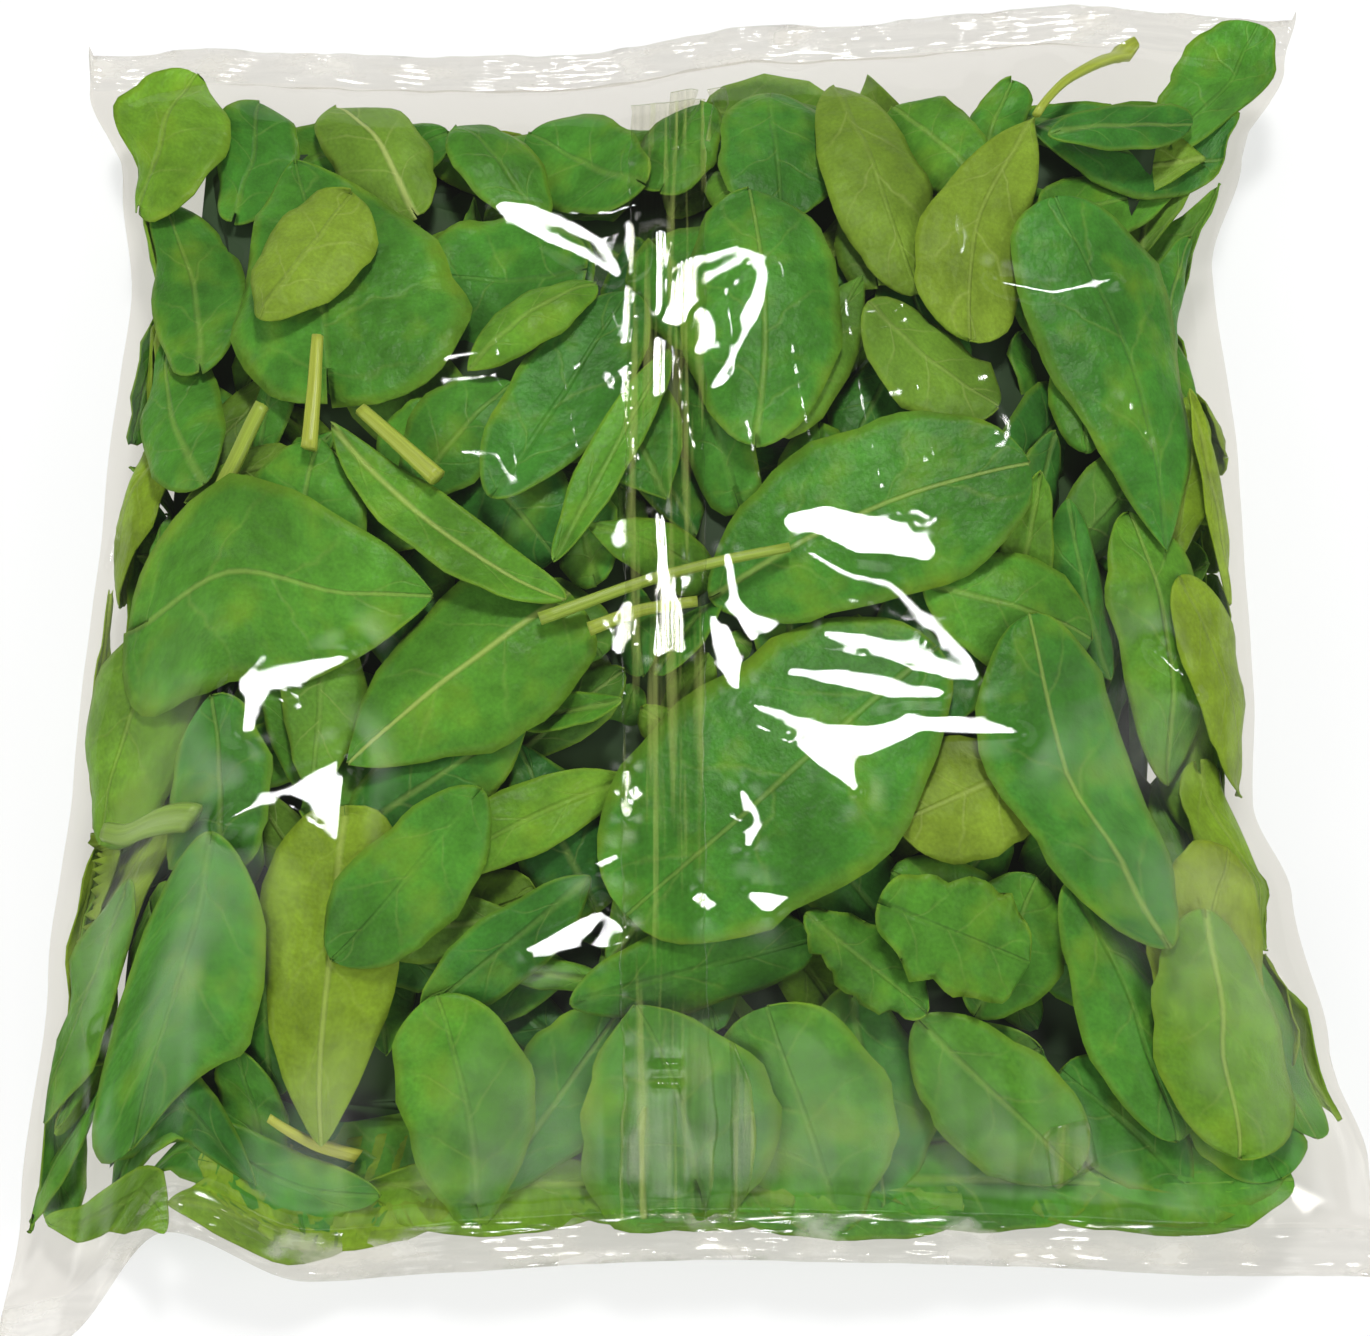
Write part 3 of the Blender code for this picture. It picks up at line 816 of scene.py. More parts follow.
def add_blade(mesh, leaf):
    """Adds one blade to a mesh, as a grid moved into place, with its vein places and its tone."""
    share, flat, tone = (mesh.verts.layers.float_vector[name] for name in ("share", "flat", "tone"))
    columns, rows = FINE if leaf["shown"] else COARSE
    points = bmesh.ops.create_grid(mesh, x_segments=columns, y_segments=rows, size=0.5)["verts"]
    place = np.array([point.co for point in points])
    u = np.clip(2 * place[:, 0], -1, 1)
    v = (1 - np.cos(math.pi * np.clip(place[:, 1] + 0.5, 0, 1))) / 2  # rows crowd towards both ends
    s, t, relief, a, b = blade(leaf, u, v)
    depth = blade_depth(leaf, u, v, relief)
    half = leaf["width"] / 2 * profile(leaf, v)
    most = np.maximum(room(s, t), 0.8)
    depth = np.where(depth > 0.6 * most, most * (0.6 + 0.4 * np.tanh(depth / most / 0.4 - 1.5)), depth)
    solid = under_film(s, t, np.maximum(depth, 0.5)) * MM
    for i, point in enumerate(points):
        point.co = solid[i]
        point[share] = (u[i], v[i], half[i])
        point[flat] = (a[i] + 200 * leaf["turn"], b[i] + 300 * leaf["rough"], 0.0)
        point[tone] = (leaf["tone"], leaf["rib"], leaf["turn"] / 6.28)


def leaf_piece(name, leaves):
    """One piece from many blades: grids first, then their thickness."""
    mesh = bmesh.new()
    for layer in ("share", "flat", "tone"):
        mesh.verts.layers.float_vector.new(layer)
    for leaf in leaves:
        add_blade(mesh, leaf)
    data = bpy.data.meshes.new(name)
    mesh.to_mesh(data)
    mesh.free()
    data.shade_smooth()
    piece = bpy.data.objects.new(name, data)
    bpy.context.scene.collection.objects.link(piece)
    wall = piece.modifiers.new("leaf_thickness", "SOLIDIFY")
    wall.thickness = LEAF_THICK * MM
    wall.offset = -1
    wall.material_offset = 1
    wall.material_offset_rim = 0
    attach(piece, "root")
    print(name, len(leaves), "leaves,", len(data.polygons), "faces a side")
    return piece


def stem_piece(name, items):
    """Stalks: an eight-sided rod each, divided along its length and bent along its way."""
    mesh = bmesh.new()
    for layer in ("share", "flat", "tone"):
        mesh.verts.layers.float_vector.new(layer)
    share, flat, tone = (mesh.verts.layers.float_vector[name] for name in ("share", "flat", "tone"))
    for item in items:
        before = len(mesh.verts)
        rod = bmesh.ops.create_cone(mesh, cap_ends=True, segments=8, radius1=1, radius2=1, depth=1)["verts"]
        edges = {edge for point in rod for edge in point.link_edges}
        upright = [edge for edge in edges if abs(edge.verts[0].co.z - edge.verts[1].co.z) > 0.5]
        upright.sort(key=lambda edge: math.atan2(edge.verts[0].co.y, edge.verts[0].co.x))
        bmesh.ops.subdivide_edges(mesh, edges=upright, cuts=14)
        mesh.verts.ensure_lookup_table()
        points = mesh.verts[before:]
        place = np.array([point.co for point in points])
        v = place[:, 2] + 0.5
        fine = np.linspace(0, 1, len(item["way"]))
        way = np.stack([np.interp(v, fine, item["way"][:, k]) for k in (0, 1)], -1)
        ahead = np.stack([np.interp(v, fine, np.gradient(item["way"][:, k])) for k in (0, 1)], -1)
        ahead /= np.linalg.norm(ahead, axis=1, keepdims=True)
        radius = item["radius"] * (0.82 + 0.3 * v)
        groove = np.where(place[:, 1] > 0.5, 0.28 * (1 - np.abs(place[:, 0])), 0)
        s = way[:, 0] + ahead[:, 1] * place[:, 0] * radius
        t = way[:, 1] - ahead[:, 0] * place[:, 0] * radius
        depth = np.interp(v, fine, item["depth"]) - (place[:, 1] - groove) * radius * 0.85
        solid = under_film(s, t, np.maximum(depth, 0.4)) * MM
        for i, point in enumerate(points):
            point.co = solid[i]
            point[share] = (place[i, 0], v[i], place[i, 1])
            point[flat] = (way[i, 0], way[i, 1], 0.0)
            point[tone] = (item["tone"], item["radius"] / 3, 0.5)
    bmesh.ops.recalc_face_normals(mesh, faces=mesh.faces)
    data = bpy.data.meshes.new(name)
    mesh.to_mesh(data)
    mesh.free()
    data.shade_smooth()
    piece = bpy.data.objects.new(name, data)
    bpy.context.scene.collection.objects.link(piece)
    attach(piece, "root")
    print(name, len(items), "stalks,", len(data.polygons), "faces")
    return piece


shown_up = [leaf for leaf in blades if leaf["shown"] and not leaf.get("under")]
shown_under = [leaf for leaf in blades if leaf["shown"] and leaf.get("under")]
hidden = [leaf for leaf in blades if not leaf["shown"]]
groups = {
    "dark_leaves": [leaf for leaf in shown_up if leaf["tone"] < 0.36],
    "green_leaves": [leaf for leaf in shown_up if 0.36 <= leaf["tone"] < 0.5],
    "light_leaves": [leaf for leaf in shown_up if leaf["tone"] >= 0.5],
    "turned_leaves": shown_under,
    "heap_leaves": [leaf for leaf in hidden if not leaf.get("under")],
    "turned_heap_leaves": [leaf for leaf in hidden if leaf.get("under")],
}
pieces = {name: leaf_piece(name, leaves) for name, leaves in groups.items()}
stems = stem_piece("leaf_stems", stalks)

# %% [markdown]
# ## Materials
#
# **Spinach leaf**: a living leaf, waxy and satin on its upper side, paler and duller beneath. Its midrib and
# arched side veins are lighter than the blade, and the blade puffs up a little between them.

# %% A colour from its hex value, and a node with its settings and links
def colour(hex_value):
    """sRGB hex to linear RGBA."""
    parts = [int(hex_value[i : i + 2], 16) / 255 for i in (1, 3, 5)]
    linear = [part / 12.92 if part <= 0.04045 else ((part + 0.055) / 1.055) ** 2.4 for part in parts]
    return (*linear, 1.0)


def add(tree, kind, inputs=(), **settings):
    """Adds a node. Inputs may be plain values or another node's sockets."""
    node = tree.nodes.new(kind)
    for name, value in settings.items():
        setattr(node, name, value)
    for name, value in dict(inputs).items():
        if isinstance(value, bpy.types.NodeSocket):
            tree.links.new(value, node.inputs[name])
        else:
            node.inputs[name].default_value = value
    return node


def new_material(name):
    material = bpy.data.materials.new(name)
    material.use_nodes = True
    material.node_tree.nodes.clear()
    return material, material.node_tree


def ramp(tree, factor, stops):
    node = add(tree, "ShaderNodeValToRGB", {"Fac": factor})
    while len(node.color_ramp.elements) < len(stops):
        node.color_ramp.elements.new(0.5)
    for element, (position, value) in zip(node.color_ramp.elements, stops):
        element.position = position
        element.color = value
    return node.outputs["Color"]


# %% Spinach leaf, upper side and underside
LEAF_GREENS = {
    "upper": ((0.0, colour("#326F29")), (0.35, colour("#45852B")), (0.6, colour("#56902A")), (1.0, colour("#87A026"))),
    "under": ((0.0, colour("#4C7F2C")), (0.35, colour("#5C8C2C")), (0.6, colour("#678C2C")), (1.0, colour("#859C2C"))),
}


def leaf_material(side):
    """Fresh leaf tissue: veins from the leaf's own places, puffed relief, satin wax, and painted light in pale patches
    and at the rim.
    """
    material, tree = new_material(f"spinach_leaf_{side}")
    math_node = "ShaderNodeMath"
    share = add(tree, "ShaderNodeAttribute", attribute_name="share")
    flat = add(tree, "ShaderNodeAttribute", attribute_name="flat")
    tone = add(tree, "ShaderNodeSeparateXYZ", {0: add(tree, "ShaderNodeAttribute", attribute_name="tone").outputs["Vector"]})
    place = add(tree, "ShaderNodeSeparateXYZ", {0: share.outputs["Vector"]})
    across = add(tree, math_node, {0: place.outputs["X"]}, operation="ABSOLUTE")
    side_of = add(tree, math_node, {0: place.outputs["X"]}, operation="SIGN")
    wobble = add(tree, "ShaderNodeTexNoise", {"Vector": flat.outputs["Vector"], "Scale": 0.09, "Detail": 2.0}, noise_dimensions="2D")
    from_rib = add(tree, math_node, {0: across.outputs[0], 1: place.outputs["Z"]}, operation="MULTIPLY")
    rib_wide = add(tree, math_node, {0: place.outputs["Y"], 1: -0.8, 2: 1.35}, operation="MULTIPLY_ADD")
    midrib = add(
        tree, "ShaderNodeMapRange",
        {0: from_rib.outputs[0], 1: 0.2, 2: rib_wide.outputs[0], 3: 1.0, 4: 0.0}, interpolation_type="SMOOTHSTEP",
    )
    # Side veins leave the midrib at a slant and arch towards the tip.
    slant = add(tree, math_node, {0: across.outputs[0], 1: across.outputs[0]}, operation="MULTIPLY")
    slant = add(tree, math_node, {0: slant.outputs[0], 1: 0.10, 2: place.outputs["Y"]}, operation="MULTIPLY_ADD")
    slant = add(tree, math_node, {0: across.outputs[0], 1: -0.34, 2: slant.outputs[0]}, operation="MULTIPLY_ADD")
    phase = add(tree, math_node, {0: slant.outputs[0], 1: 6.5}, operation="MULTIPLY")
    phase = add(tree, math_node, {0: side_of.outputs[0], 1: 0.22, 2: phase.outputs[0]}, operation="MULTIPLY_ADD")
    phase = add(tree, math_node, {0: tone.outputs["Z"], 1: 1.0, 2: phase.outputs[0]}, operation="MULTIPLY_ADD")
    phase = add(tree, math_node, {0: wobble.outputs["Fac"], 1: 0.9, 2: phase.outputs[0]}, operation="MULTIPLY_ADD")
    wave = add(tree, math_node, {0: phase.outputs[0], 1: 1.0}, operation="PINGPONG")
    lateral = add(
        tree, "ShaderNodeMapRange",
        {0: wave.outputs[0], 1: 0.0, 2: 0.11, 3: 1.0, 4: 0.0}, interpolation_type="SMOOTHSTEP",
    )
    fade = add(
        tree, "ShaderNodeMapRange",
        {0: across.outputs[0], 1: 0.25, 2: 0.95, 3: 1.0, 4: 0.25}, interpolation_type="SMOOTHSTEP",
    )
    lateral = add(tree, math_node, {0: lateral.outputs["Result"], 1: fade.outputs["Result"]}, operation="MULTIPLY")
    # Colour: the blade's own green, mottled, with lighter veins; pale patches and a pale rim on it are painted light.
    green = ramp(tree, tone.outputs["X"], LEAF_GREENS[side])
    shade = None
    for scale, reach in ((0.035, 0.22), (0.19, 0.15 if side == "upper" else 0.10), (1.1, 0.10)):
        cloud = add(tree, "ShaderNodeTexNoise", {"Vector": flat.outputs["Vector"], "Scale": scale, "Detail": 3.0}, noise_dimensions="2D")
        part = add(tree, "ShaderNodeMapRange", {0: cloud.outputs["Fac"], 1: 0.3, 2: 0.7, 3: 1 - reach, 4: 1 + reach})
        if shade is None:
            shade = part
        else:
            shade = add(tree, math_node, {0: shade.outputs[0], 1: part.outputs[0]}, operation="MULTIPLY")
    blade_green = add(tree, "ShaderNodeVectorMath", {0: green, "Scale": shade.outputs[0]}, operation="SCALE")
    # Painted light: yellow-green patches stand for pale highlights, and the paler rim stands for light through the
    # leaf's edge.
    painted_light = add(tree, "ShaderNodeTexNoise", {"Vector": flat.outputs["Vector"], "Scale": 0.07, "Detail": 3.0}, noise_dimensions="2D")
    painted_light = add(tree, "ShaderNodeMapRange", {0: painted_light.outputs["Fac"], 1: 0.52, 2: 0.76, 3: 0.0, 4: 0.36 if side == "upper" else 0.1})
    rim = add(tree, "ShaderNodeMapRange", {0: across.outputs[0], 1: 0.82, 2: 1.0, 3: 0.0, 4: 0.4})
    painted_light = add(tree, math_node, {0: painted_light.outputs[0], 1: rim.outputs[0]}, operation="ADD")
    blade_green = add(tree, "ShaderNodeMix", {0: painted_light.outputs[0], 6: blade_green.outputs["Vector"], 7: colour("#86A526")}, data_type="RGBA")
    vein_green = colour("#B9CC6C") if side == "upper" else colour("#BCCB78")
    veins = add(tree, math_node, {0: lateral.outputs[0], 1: 0.10 if side == "upper" else 0.18}, operation="MULTIPLY")
    rib = add(tree, math_node, {0: midrib.outputs["Result"], 1: tone.outputs["Y"]}, operation="MULTIPLY")
    veins = add(tree, math_node, {0: rib.outputs[0], 1: 0.75, 2: veins.outputs[0]}, operation="MULTIPLY_ADD", use_clamp=True)
    skin = add(tree, "ShaderNodeMix", {0: veins.outputs[0], 6: blade_green.outputs[2], 7: vein_green}, data_type="RGBA")
    # Relief: puffed between the veins, the midrib raised beneath and sunk above.
    puff = add(tree, "ShaderNodeTexVoronoi", {"Vector": flat.outputs["Vector"], "Scale": 0.15}, voronoi_dimensions="2D")
    pebble = add(tree, "ShaderNodeTexNoise", {"Vector": flat.outputs["Vector"], "Scale": 0.3, "Detail": 3.0}, noise_dimensions="2D")
    sign = -1.0 if side == "upper" else 1.0
    height = add(tree, math_node, {0: puff.outputs["Distance"], 1: -0.6}, operation="MULTIPLY")
    height = add(tree, math_node, {0: pebble.outputs["Fac"], 1: 0.75, 2: height.outputs[0]}, operation="MULTIPLY_ADD")
    height = add(tree, math_node, {0: lateral.outputs[0], 1: 0.16 * sign, 2: height.outputs[0]}, operation="MULTIPLY_ADD")
    height = add(tree, math_node, {0: midrib.outputs["Result"], 1: 0.6 * sign, 2: height.outputs[0]}, operation="MULTIPLY_ADD")
    bump = add(tree, "ShaderNodeBump", {"Height": height.outputs[0], "Strength": 0.65, "Distance": 0.0009})
    shader = add(
        tree, "ShaderNodeBsdfPrincipled",
        {
            "Base Color": skin.outputs[2], "Roughness": 0.41 if side == "upper" else 0.48,
            "Specular IOR Level": 0.18, "IOR": 1.42, "Normal": bump.outputs["Normal"],
        },
    )
    add(tree, "ShaderNodeOutputMaterial", {"Surface": shader.outputs[0]})
    return material


upper_leaf, under_leaf = leaf_material("upper"), leaf_material("under")
for name, piece in pieces.items():
    sides = (under_leaf, upper_leaf) if name.startswith("turned") else (upper_leaf, under_leaf)
    for material in sides:
        piece.data.materials.append(material)
print("leaf materials:", upper_leaf.name, under_leaf.name)


# %% Leaf stalk: pale, wet and grooved along its length
def stalk_material():
    material, tree = new_material("spinach_stalk")
    share = add(tree, "ShaderNodeAttribute", attribute_name="share")
    tone = add(tree, "ShaderNodeSeparateXYZ", {0: add(tree, "ShaderNodeAttribute", attribute_name="tone").outputs["Vector"]})
    green = ramp(tree, tone.outputs["X"], ((0.3, colour("#6E9A3C")), (0.7, colour("#93AE40")), (1.0, colour("#B7BF45"))))
    stretched = add(tree, "ShaderNodeMapping", {"Vector": share.outputs["Vector"], "Scale": (5.0, 0.8, 5.0)})
    fibre = add(tree, "ShaderNodeTexNoise", {"Vector": stretched.outputs["Vector"], "Scale": 1.0, "Detail": 3.0})
    shade = add(tree, "ShaderNodeMapRange", {0: fibre.outputs["Fac"], 1: 0.3, 2: 0.7, 3: 0.82, 4: 1.15})
    skin = add(tree, "ShaderNodeVectorMath", {0: green, "Scale": shade.outputs["Result"]}, operation="SCALE")
    bump = add(tree, "ShaderNodeBump", {"Height": fibre.outputs["Fac"], "Strength": 0.3, "Distance": 0.0004})
    shader = add(
        tree, "ShaderNodeBsdfPrincipled",
        {"Base Color": skin.outputs["Vector"], "Roughness": 0.36, "IOR": 1.42, "Normal": bump.outputs["Normal"]},
    )
    add(tree, "ShaderNodeOutputMaterial", {"Surface": shader.outputs[0]})
    return material


stems.data.materials.append(stalk_material())

# %% [markdown]
# ## The core of the heap
#
# Deep in the bag nothing can be told apart, so one lump stands for the leaves there, coloured dark green as painted
# shade. It follows the underside of what has been laid, with a little room, and thins out before the bag's edges.

# %% The core
CORE_COLUMNS, CORE_ROWS = 110, 90
CORE_SHARE = 0.80  # of the way from the seam to the side folds


def core_piece():
    mesh = bmesh.new()
    points = bmesh.ops.create_grid(mesh, x_segments=CORE_COLUMNS, y_segments=CORE_ROWS, size=0.5)["verts"]
    place = np.array([point.co for point in points])
    round_tube = (place[:, 0] + 0.5) * 4 - 1
    beneath = round_tube > 1
    side = np.where(beneath, 2 - round_tube, round_tube)
    s = np.where(beneath, 2 * HALF - CORE_SHARE * HALF * side, CORE_SHARE * HALF * side)
    t = 30 + (place[:, 1] + 0.5) * (FLAT_LENGTH - 60)
    cells = chart_cell(s, t)
    laid_to = np.minimum(chart, 16)
    for _ in range(3):
        laid_to = np.maximum.reduce([np.roll(laid_to, k, axis) for k in (-1, 0, 1) for axis in (0, 1)])
    shut = np.clip((1 - np.abs(side)) * 9, 0, 1) * np.clip((0.5 - np.abs(place[:, 1])) * 16, 0, 1)
    middle = plumpness(t / FLAT_LENGTH) * (RISE_ABOVE + DROP_BELOW) / 2
    deep = middle * crown(np.interp(np.abs(side) * CORE_SHARE, ARC_ABOVE, SHARES)) / np.abs(film_normal(s, t)[:, 2])
    depth = np.minimum(laid_to[cells] + 1.5, deep) * shut + deep * (1 - shut)
    solid = under_film(s, t, depth) * MM
    for i, point in enumerate(points):
        point.co = solid[i]
    bmesh.ops.remove_doubles(mesh, verts=mesh.verts, dist=0.00005)
    bmesh.ops.holes_fill(mesh, edges=mesh.edges, sides=0)
    bmesh.ops.recalc_face_normals(mesh, faces=mesh.faces)
    data = bpy.data.meshes.new("heap_core")
    mesh.to_mesh(data)
    mesh.free()
    data.shade_smooth()
    piece = bpy.data.objects.new("heap_core", data)
    bpy.context.scene.collection.objects.link(piece)
    material, tree = new_material("shaded_leaf_mass")
    coords = add(tree, "ShaderNodeTexCoord")
    leafy = add(tree, "ShaderNodeTexVoronoi", {"Vector": coords.outputs["Object"], "Scale": 45.0})
    # Painted shade: the leaves deep in the bag are given a dark green colour for the shade they lie in.
    green = ramp(tree, leafy.outputs["Distance"], ((0.0, colour("#3A5E22")), (0.6, colour("#22401A"))))
    bump = add(tree, "ShaderNodeBump", {"Height": leafy.outputs["Distance"], "Strength": 0.6, "Distance": 0.003})
    shader = add(tree, "ShaderNodeBsdfPrincipled", {"Base Color": green, "Roughness": 0.7, "Normal": bump.outputs["Normal"]})
    add(tree, "ShaderNodeOutputMaterial", {"Surface": shader.outputs[0]})
    piece.data.materials.append(material)
    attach(piece, "root")
    print("core:", len(data.polygons), "faces")
    return piece


core = core_piece()

# %% [markdown]
# ## The film
#
# The film is one closed wall: a grid rolled into a tube, with its two ends drawn shut at the seals. A real
# film is 0.04 mm thick, far too thin to give it two walls. Rows are close together in the seals, where the
# jaws leave ribs, and the underside has fewer rows because it is plain.

# %% Creases too small to place one by one
RIBS = 1.9
SIDE_GATHER = 9.0
small = np.zeros_like(plan_x)
for _ in range(170):
    x0, y0 = ODDS.uniform(-125, 125), ODDS.uniform(-135, 138)
    turn = ODDS.normal(math.pi / 2, 0.55) if abs(y0) > 85 else ODDS.uniform(0, math.pi)
    reach = ODDS.uniform(6, 26)
    height, wide = ODDS.uniform(0.08, 0.34), ODDS.uniform(0.9, 2.6)
    along = (plan_x - x0) * math.cos(turn) + (plan_y - y0) * math.sin(turn)
    aside = -(plan_x - x0) * math.sin(turn) + (plan_y - y0) * math.cos(turn) + 0.012 * along**2 * ODDS.uniform(-1, 1)
    small += height * np.exp(-np.abs(aside) / wide) * np.clip(1 - (along / reach) ** 2, 0, 1) ** 2
for x0, y0, radius in ((-10, 35, 26), (10, 10, 22), (30, 50, 16)):  # smooth between the large glints
    small *= 1 - np.clip(2 - np.hypot(plan_x - x0, plan_y - y0) / radius, 0, 1)
small *= in_body * (1 - glint)
ripples = np.sin(plan_x / 3.4 + np.sin(plan_y / 9)) * np.sin(plan_y / 4.7 + np.sin(plan_x / 11))
film_relief = lift + small + 0.55 * ripples * (1 - in_body)


def gathers(s, t):
    """Film drawn together next to the seals: uneven pleats that die away into the body."""
    reach = np.minimum(t, FLAT_LENGTH - t) - SEAL_DEPTH
    fade = np.clip(reach / 6, 0, 1) * np.exp(-np.clip(reach, 0, 200) / 17)
    pleats = np.abs(np.sin(s / 7.3 + 1.7 * np.sin(s / 19) + 0.012 * t)) + 0.6 * np.abs(np.sin(s / 3.1 + np.sin(s / 11)))
    return fade * (1.5 - pleats) * 0.8


def seal_ribs(t):
    """The jaws' ribs across the seal, and the step where the seal begins."""
    depth = np.minimum(t, FLAT_LENGTH - t)
    ribs = np.where(depth < SEAL_DEPTH, 0.16 * np.cos(2 * math.pi * depth / RIBS), 0.0)
    return ribs + 0.7 * np.exp(-((depth - SEAL_DEPTH - 1.0) / 1.1) ** 2)


def seal_waves(s, t):
    """The flat seals are not quite flat: slow waves along them, so that their shine comes in patches."""
    depth = np.minimum(t, FLAT_LENGTH - t)
    fade = np.clip(1 - depth / 26, 0, 1)
    return fade * (0.8 * np.sin(s / 13 + 2 * np.sin(s / 31)) + 0.45 * np.sin(s / 5.3 + t / 4) + 0.25 * np.sin(s / 2.1 - t / 3) + 0.12 * np.sin(s / 1.3 + t / 1.1))


# %% Roll the film
SEAL_ROWS = 22


def film_columns():
    """Places across the bag as shares of its half width, closest together near the long seam."""
    left, seam, right = np.linspace(-HALF, -45, 60), np.linspace(-45, 65, 158), np.linspace(65, HALF, 49)
    s = np.concatenate([left, seam[1:], right[1:]])
    return np.sign(s) * np.interp(np.abs(s) / HALF, ARC_ABOVE, SHARES)


def film_map_s(share, upper):
    """The flat map's s for a share of the half width, on the upper or the under film."""
    above = np.sign(share) * HALF * np.interp(np.abs(share), SHARES, ARC_ABOVE)
    below = 2 * HALF - np.sign(share) * HALF * np.interp(np.abs(share), SHARES, ARC_BELOW)
    return np.where(upper, above, below)


def film_rows():
    seal = np.linspace(0, SEAL_DEPTH, SEAL_ROWS + 1)
    near, body = np.linspace(SEAL_DEPTH, 62, 33), np.linspace(62, 238, 197)
    far = np.linspace(238, FLAT_LENGTH - SEAL_DEPTH, 29)
    return np.concatenate([seal, near[1:], body[1:], far[1:], FLAT_LENGTH - seal[::-1][1:]])


def film_surface(s, t):
    """The film with all its creases, in mm."""
    smooth = film_at(s, t)
    out = film_normal(s, t)
    upper = ((s + HALF) % (4 * HALF)) - HALF <= HALF
    solid = smooth + out * (gathers(s, t) * np.where(upper, 1.0, 0.4))[..., None]
    solid[..., 2] += np.where(upper, plan_value(film_relief, smooth[..., 0], smooth[..., 1]), 0)
    solid[..., 2] += seal_ribs(t) + seal_waves(s, t) - 0.13 * np.clip(t - 262, 0, 30)
    solid[..., 2] = np.maximum(solid[..., 2], np.where(upper, 0.3, 0.05))
    shut = (t <= 0) | (t >= FLAT_LENGTH)  # both films end on one line
    return np.where(shut[..., None], solid * [1, 1, 0] + [0, 0, 1] * end_height(s, t)[..., None], solid)


def end_height(s, t):
    """The height of the line where both films end."""
    side = np.where(s <= HALF, s, 2 * HALF - s) / HALF
    share = np.sign(side) * np.where(
        s <= HALF, np.interp(np.abs(side), ARC_ABOVE, SHARES), np.interp(np.abs(side), ARC_BELOW, SHARES)
    )
    height = np.where(t < FLAT_LENGTH / 2, eased(NEAR_END_HEIGHT, share), eased(FAR_END_HEIGHT, share))
    wave = seal_ribs(t) + seal_waves(HALF * share, t) - 0.13 * np.clip(t - 262, 0, 30)
    return np.maximum(height + wave, 0.3)


def side_line(share, t):
    """The line of each side fold, where the two films meet."""
    return (film_at(film_map_s(share, True), t) + film_at(film_map_s(share, False), t)) / 2 + [0, 0, 0.2]


UNDER_STEP = 5  # the plain under film has one row for every five of the upper film


def film_piece():
    shares, rows = film_columns(), film_rows()
    mesh = bmesh.new()
    sealed = set()
    for upper in (True, False):
        before = len(mesh.verts)
        step = 1 if upper else UNDER_STEP
        bmesh.ops.create_grid(mesh, x_segments=len(shares) - 1, y_segments=(len(rows) - 1) // step, size=0.5)
        mesh.verts.ensure_lookup_table()
        if not upper:  # its side edges are divided again, so that they meet the upper film point by point
            sides = {e for v in mesh.verts[before:] if abs(abs(v.co.x) - 0.5) < 1e-6 for e in v.link_edges}
            sides = [e for e in sides if abs(e.verts[0].co.x - e.verts[1].co.x) < 1e-6]
            sides.sort(key=lambda e: (round(e.verts[0].co.x, 3), e.verts[0].co.y + e.verts[1].co.y))
            bmesh.ops.subdivide_edges(mesh, edges=sides, cuts=UNDER_STEP - 1)
            mesh.verts.ensure_lookup_table()
        points = mesh.verts[before:]
        place = np.array([point.co for point in points])
        share = shares[np.round((place[:, 0] + 0.5) * (len(shares) - 1)).astype(int)]
        t = rows[np.round((place[:, 1] + 0.5) * (len(rows) - 1)).astype(int)]
        solid = film_surface(film_map_s(share, upper), t)
        solid[np.abs(share) > 0.9999] = side_line(share, t)[np.abs(share) > 0.9999]
        for point, at, depth in zip(points, solid * MM, np.minimum(t, FLAT_LENGTH - t)):
            point.co = at
            if depth <= SEAL_DEPTH:
                sealed.add(point)
    for face in mesh.faces:
        face.material_index = int(all(point in sealed for point in face.verts))
    rim = [v for v in mesh.verts if v.is_boundary]
    bmesh.ops.remove_doubles(mesh, verts=rim, dist=0.00002)
    bmesh.ops.recalc_face_normals(mesh, faces=mesh.faces)
    print("open edges left on the film:", sum(1 for e in mesh.edges if e.is_boundary))
    data = bpy.data.meshes.new("film")
    mesh.to_mesh(data)
    mesh.free()
    data.shade_smooth()
    piece = bpy.data.objects.new("film", data)
    bpy.context.scene.collection.objects.link(piece)
    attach(piece, "root")
    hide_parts("spinach_bag")
    print("film:", len(data.polygons), "faces")
    return piece


film = film_piece()


# %% The long seam and the larger tucks: bands of doubled film that lie on the film
TUCKS = (  # places along the band, in mm, with half widths
    ((-4.5, -124, 9.0), (-3, -105, 9.5), (-4.5, -85, 8.5), (-4.7, -40, 8.2), (-4.7, 60, 8.2), (-4.7, 120, 8.2)),
    ((9, -92, 0.4), (11, -100, 2.0), (11.5, -110, 2.6), (11, -118, 1.8), (9, -125, 0.5)),
    ((-8, -104, 0.4), (-10, -110, 1.6), (-10, -117, 1.8), (-8, -124, 0.5)),
    ((-1, 124, 3.0), (-2, 116, 2.6), (-3, 104, 1.0)),
    ((6, 124, 2.0), (7, 118, 1.8), (4, 106, 0.5)),
    ((74, -118, 0.6), (77, -111, 6.5), (80, -106, 0.6)),
)


def band_place(points, share):
    """Places and half widths along a band, evenly by length, with rounded turns."""
    points = np.array(points, float)
    run = np.concatenate([[0], np.cumsum(np.hypot(*np.diff(points[:, :2], axis=0).T))])
    fine = np.linspace(0, run[-1], 200)
    way = np.stack([np.interp(fine, run, points[:, k]) for k in range(3)], -1)
    for _ in range(12):
        way[1:-1] = (way[:-2] + 2 * way[1:-1] + way[2:]) / 4
    at = share * (len(fine) - 1)
    return np.stack([np.interp(at, np.arange(len(fine)), way[:, k]) for k in range(3)], -1), run[-1]


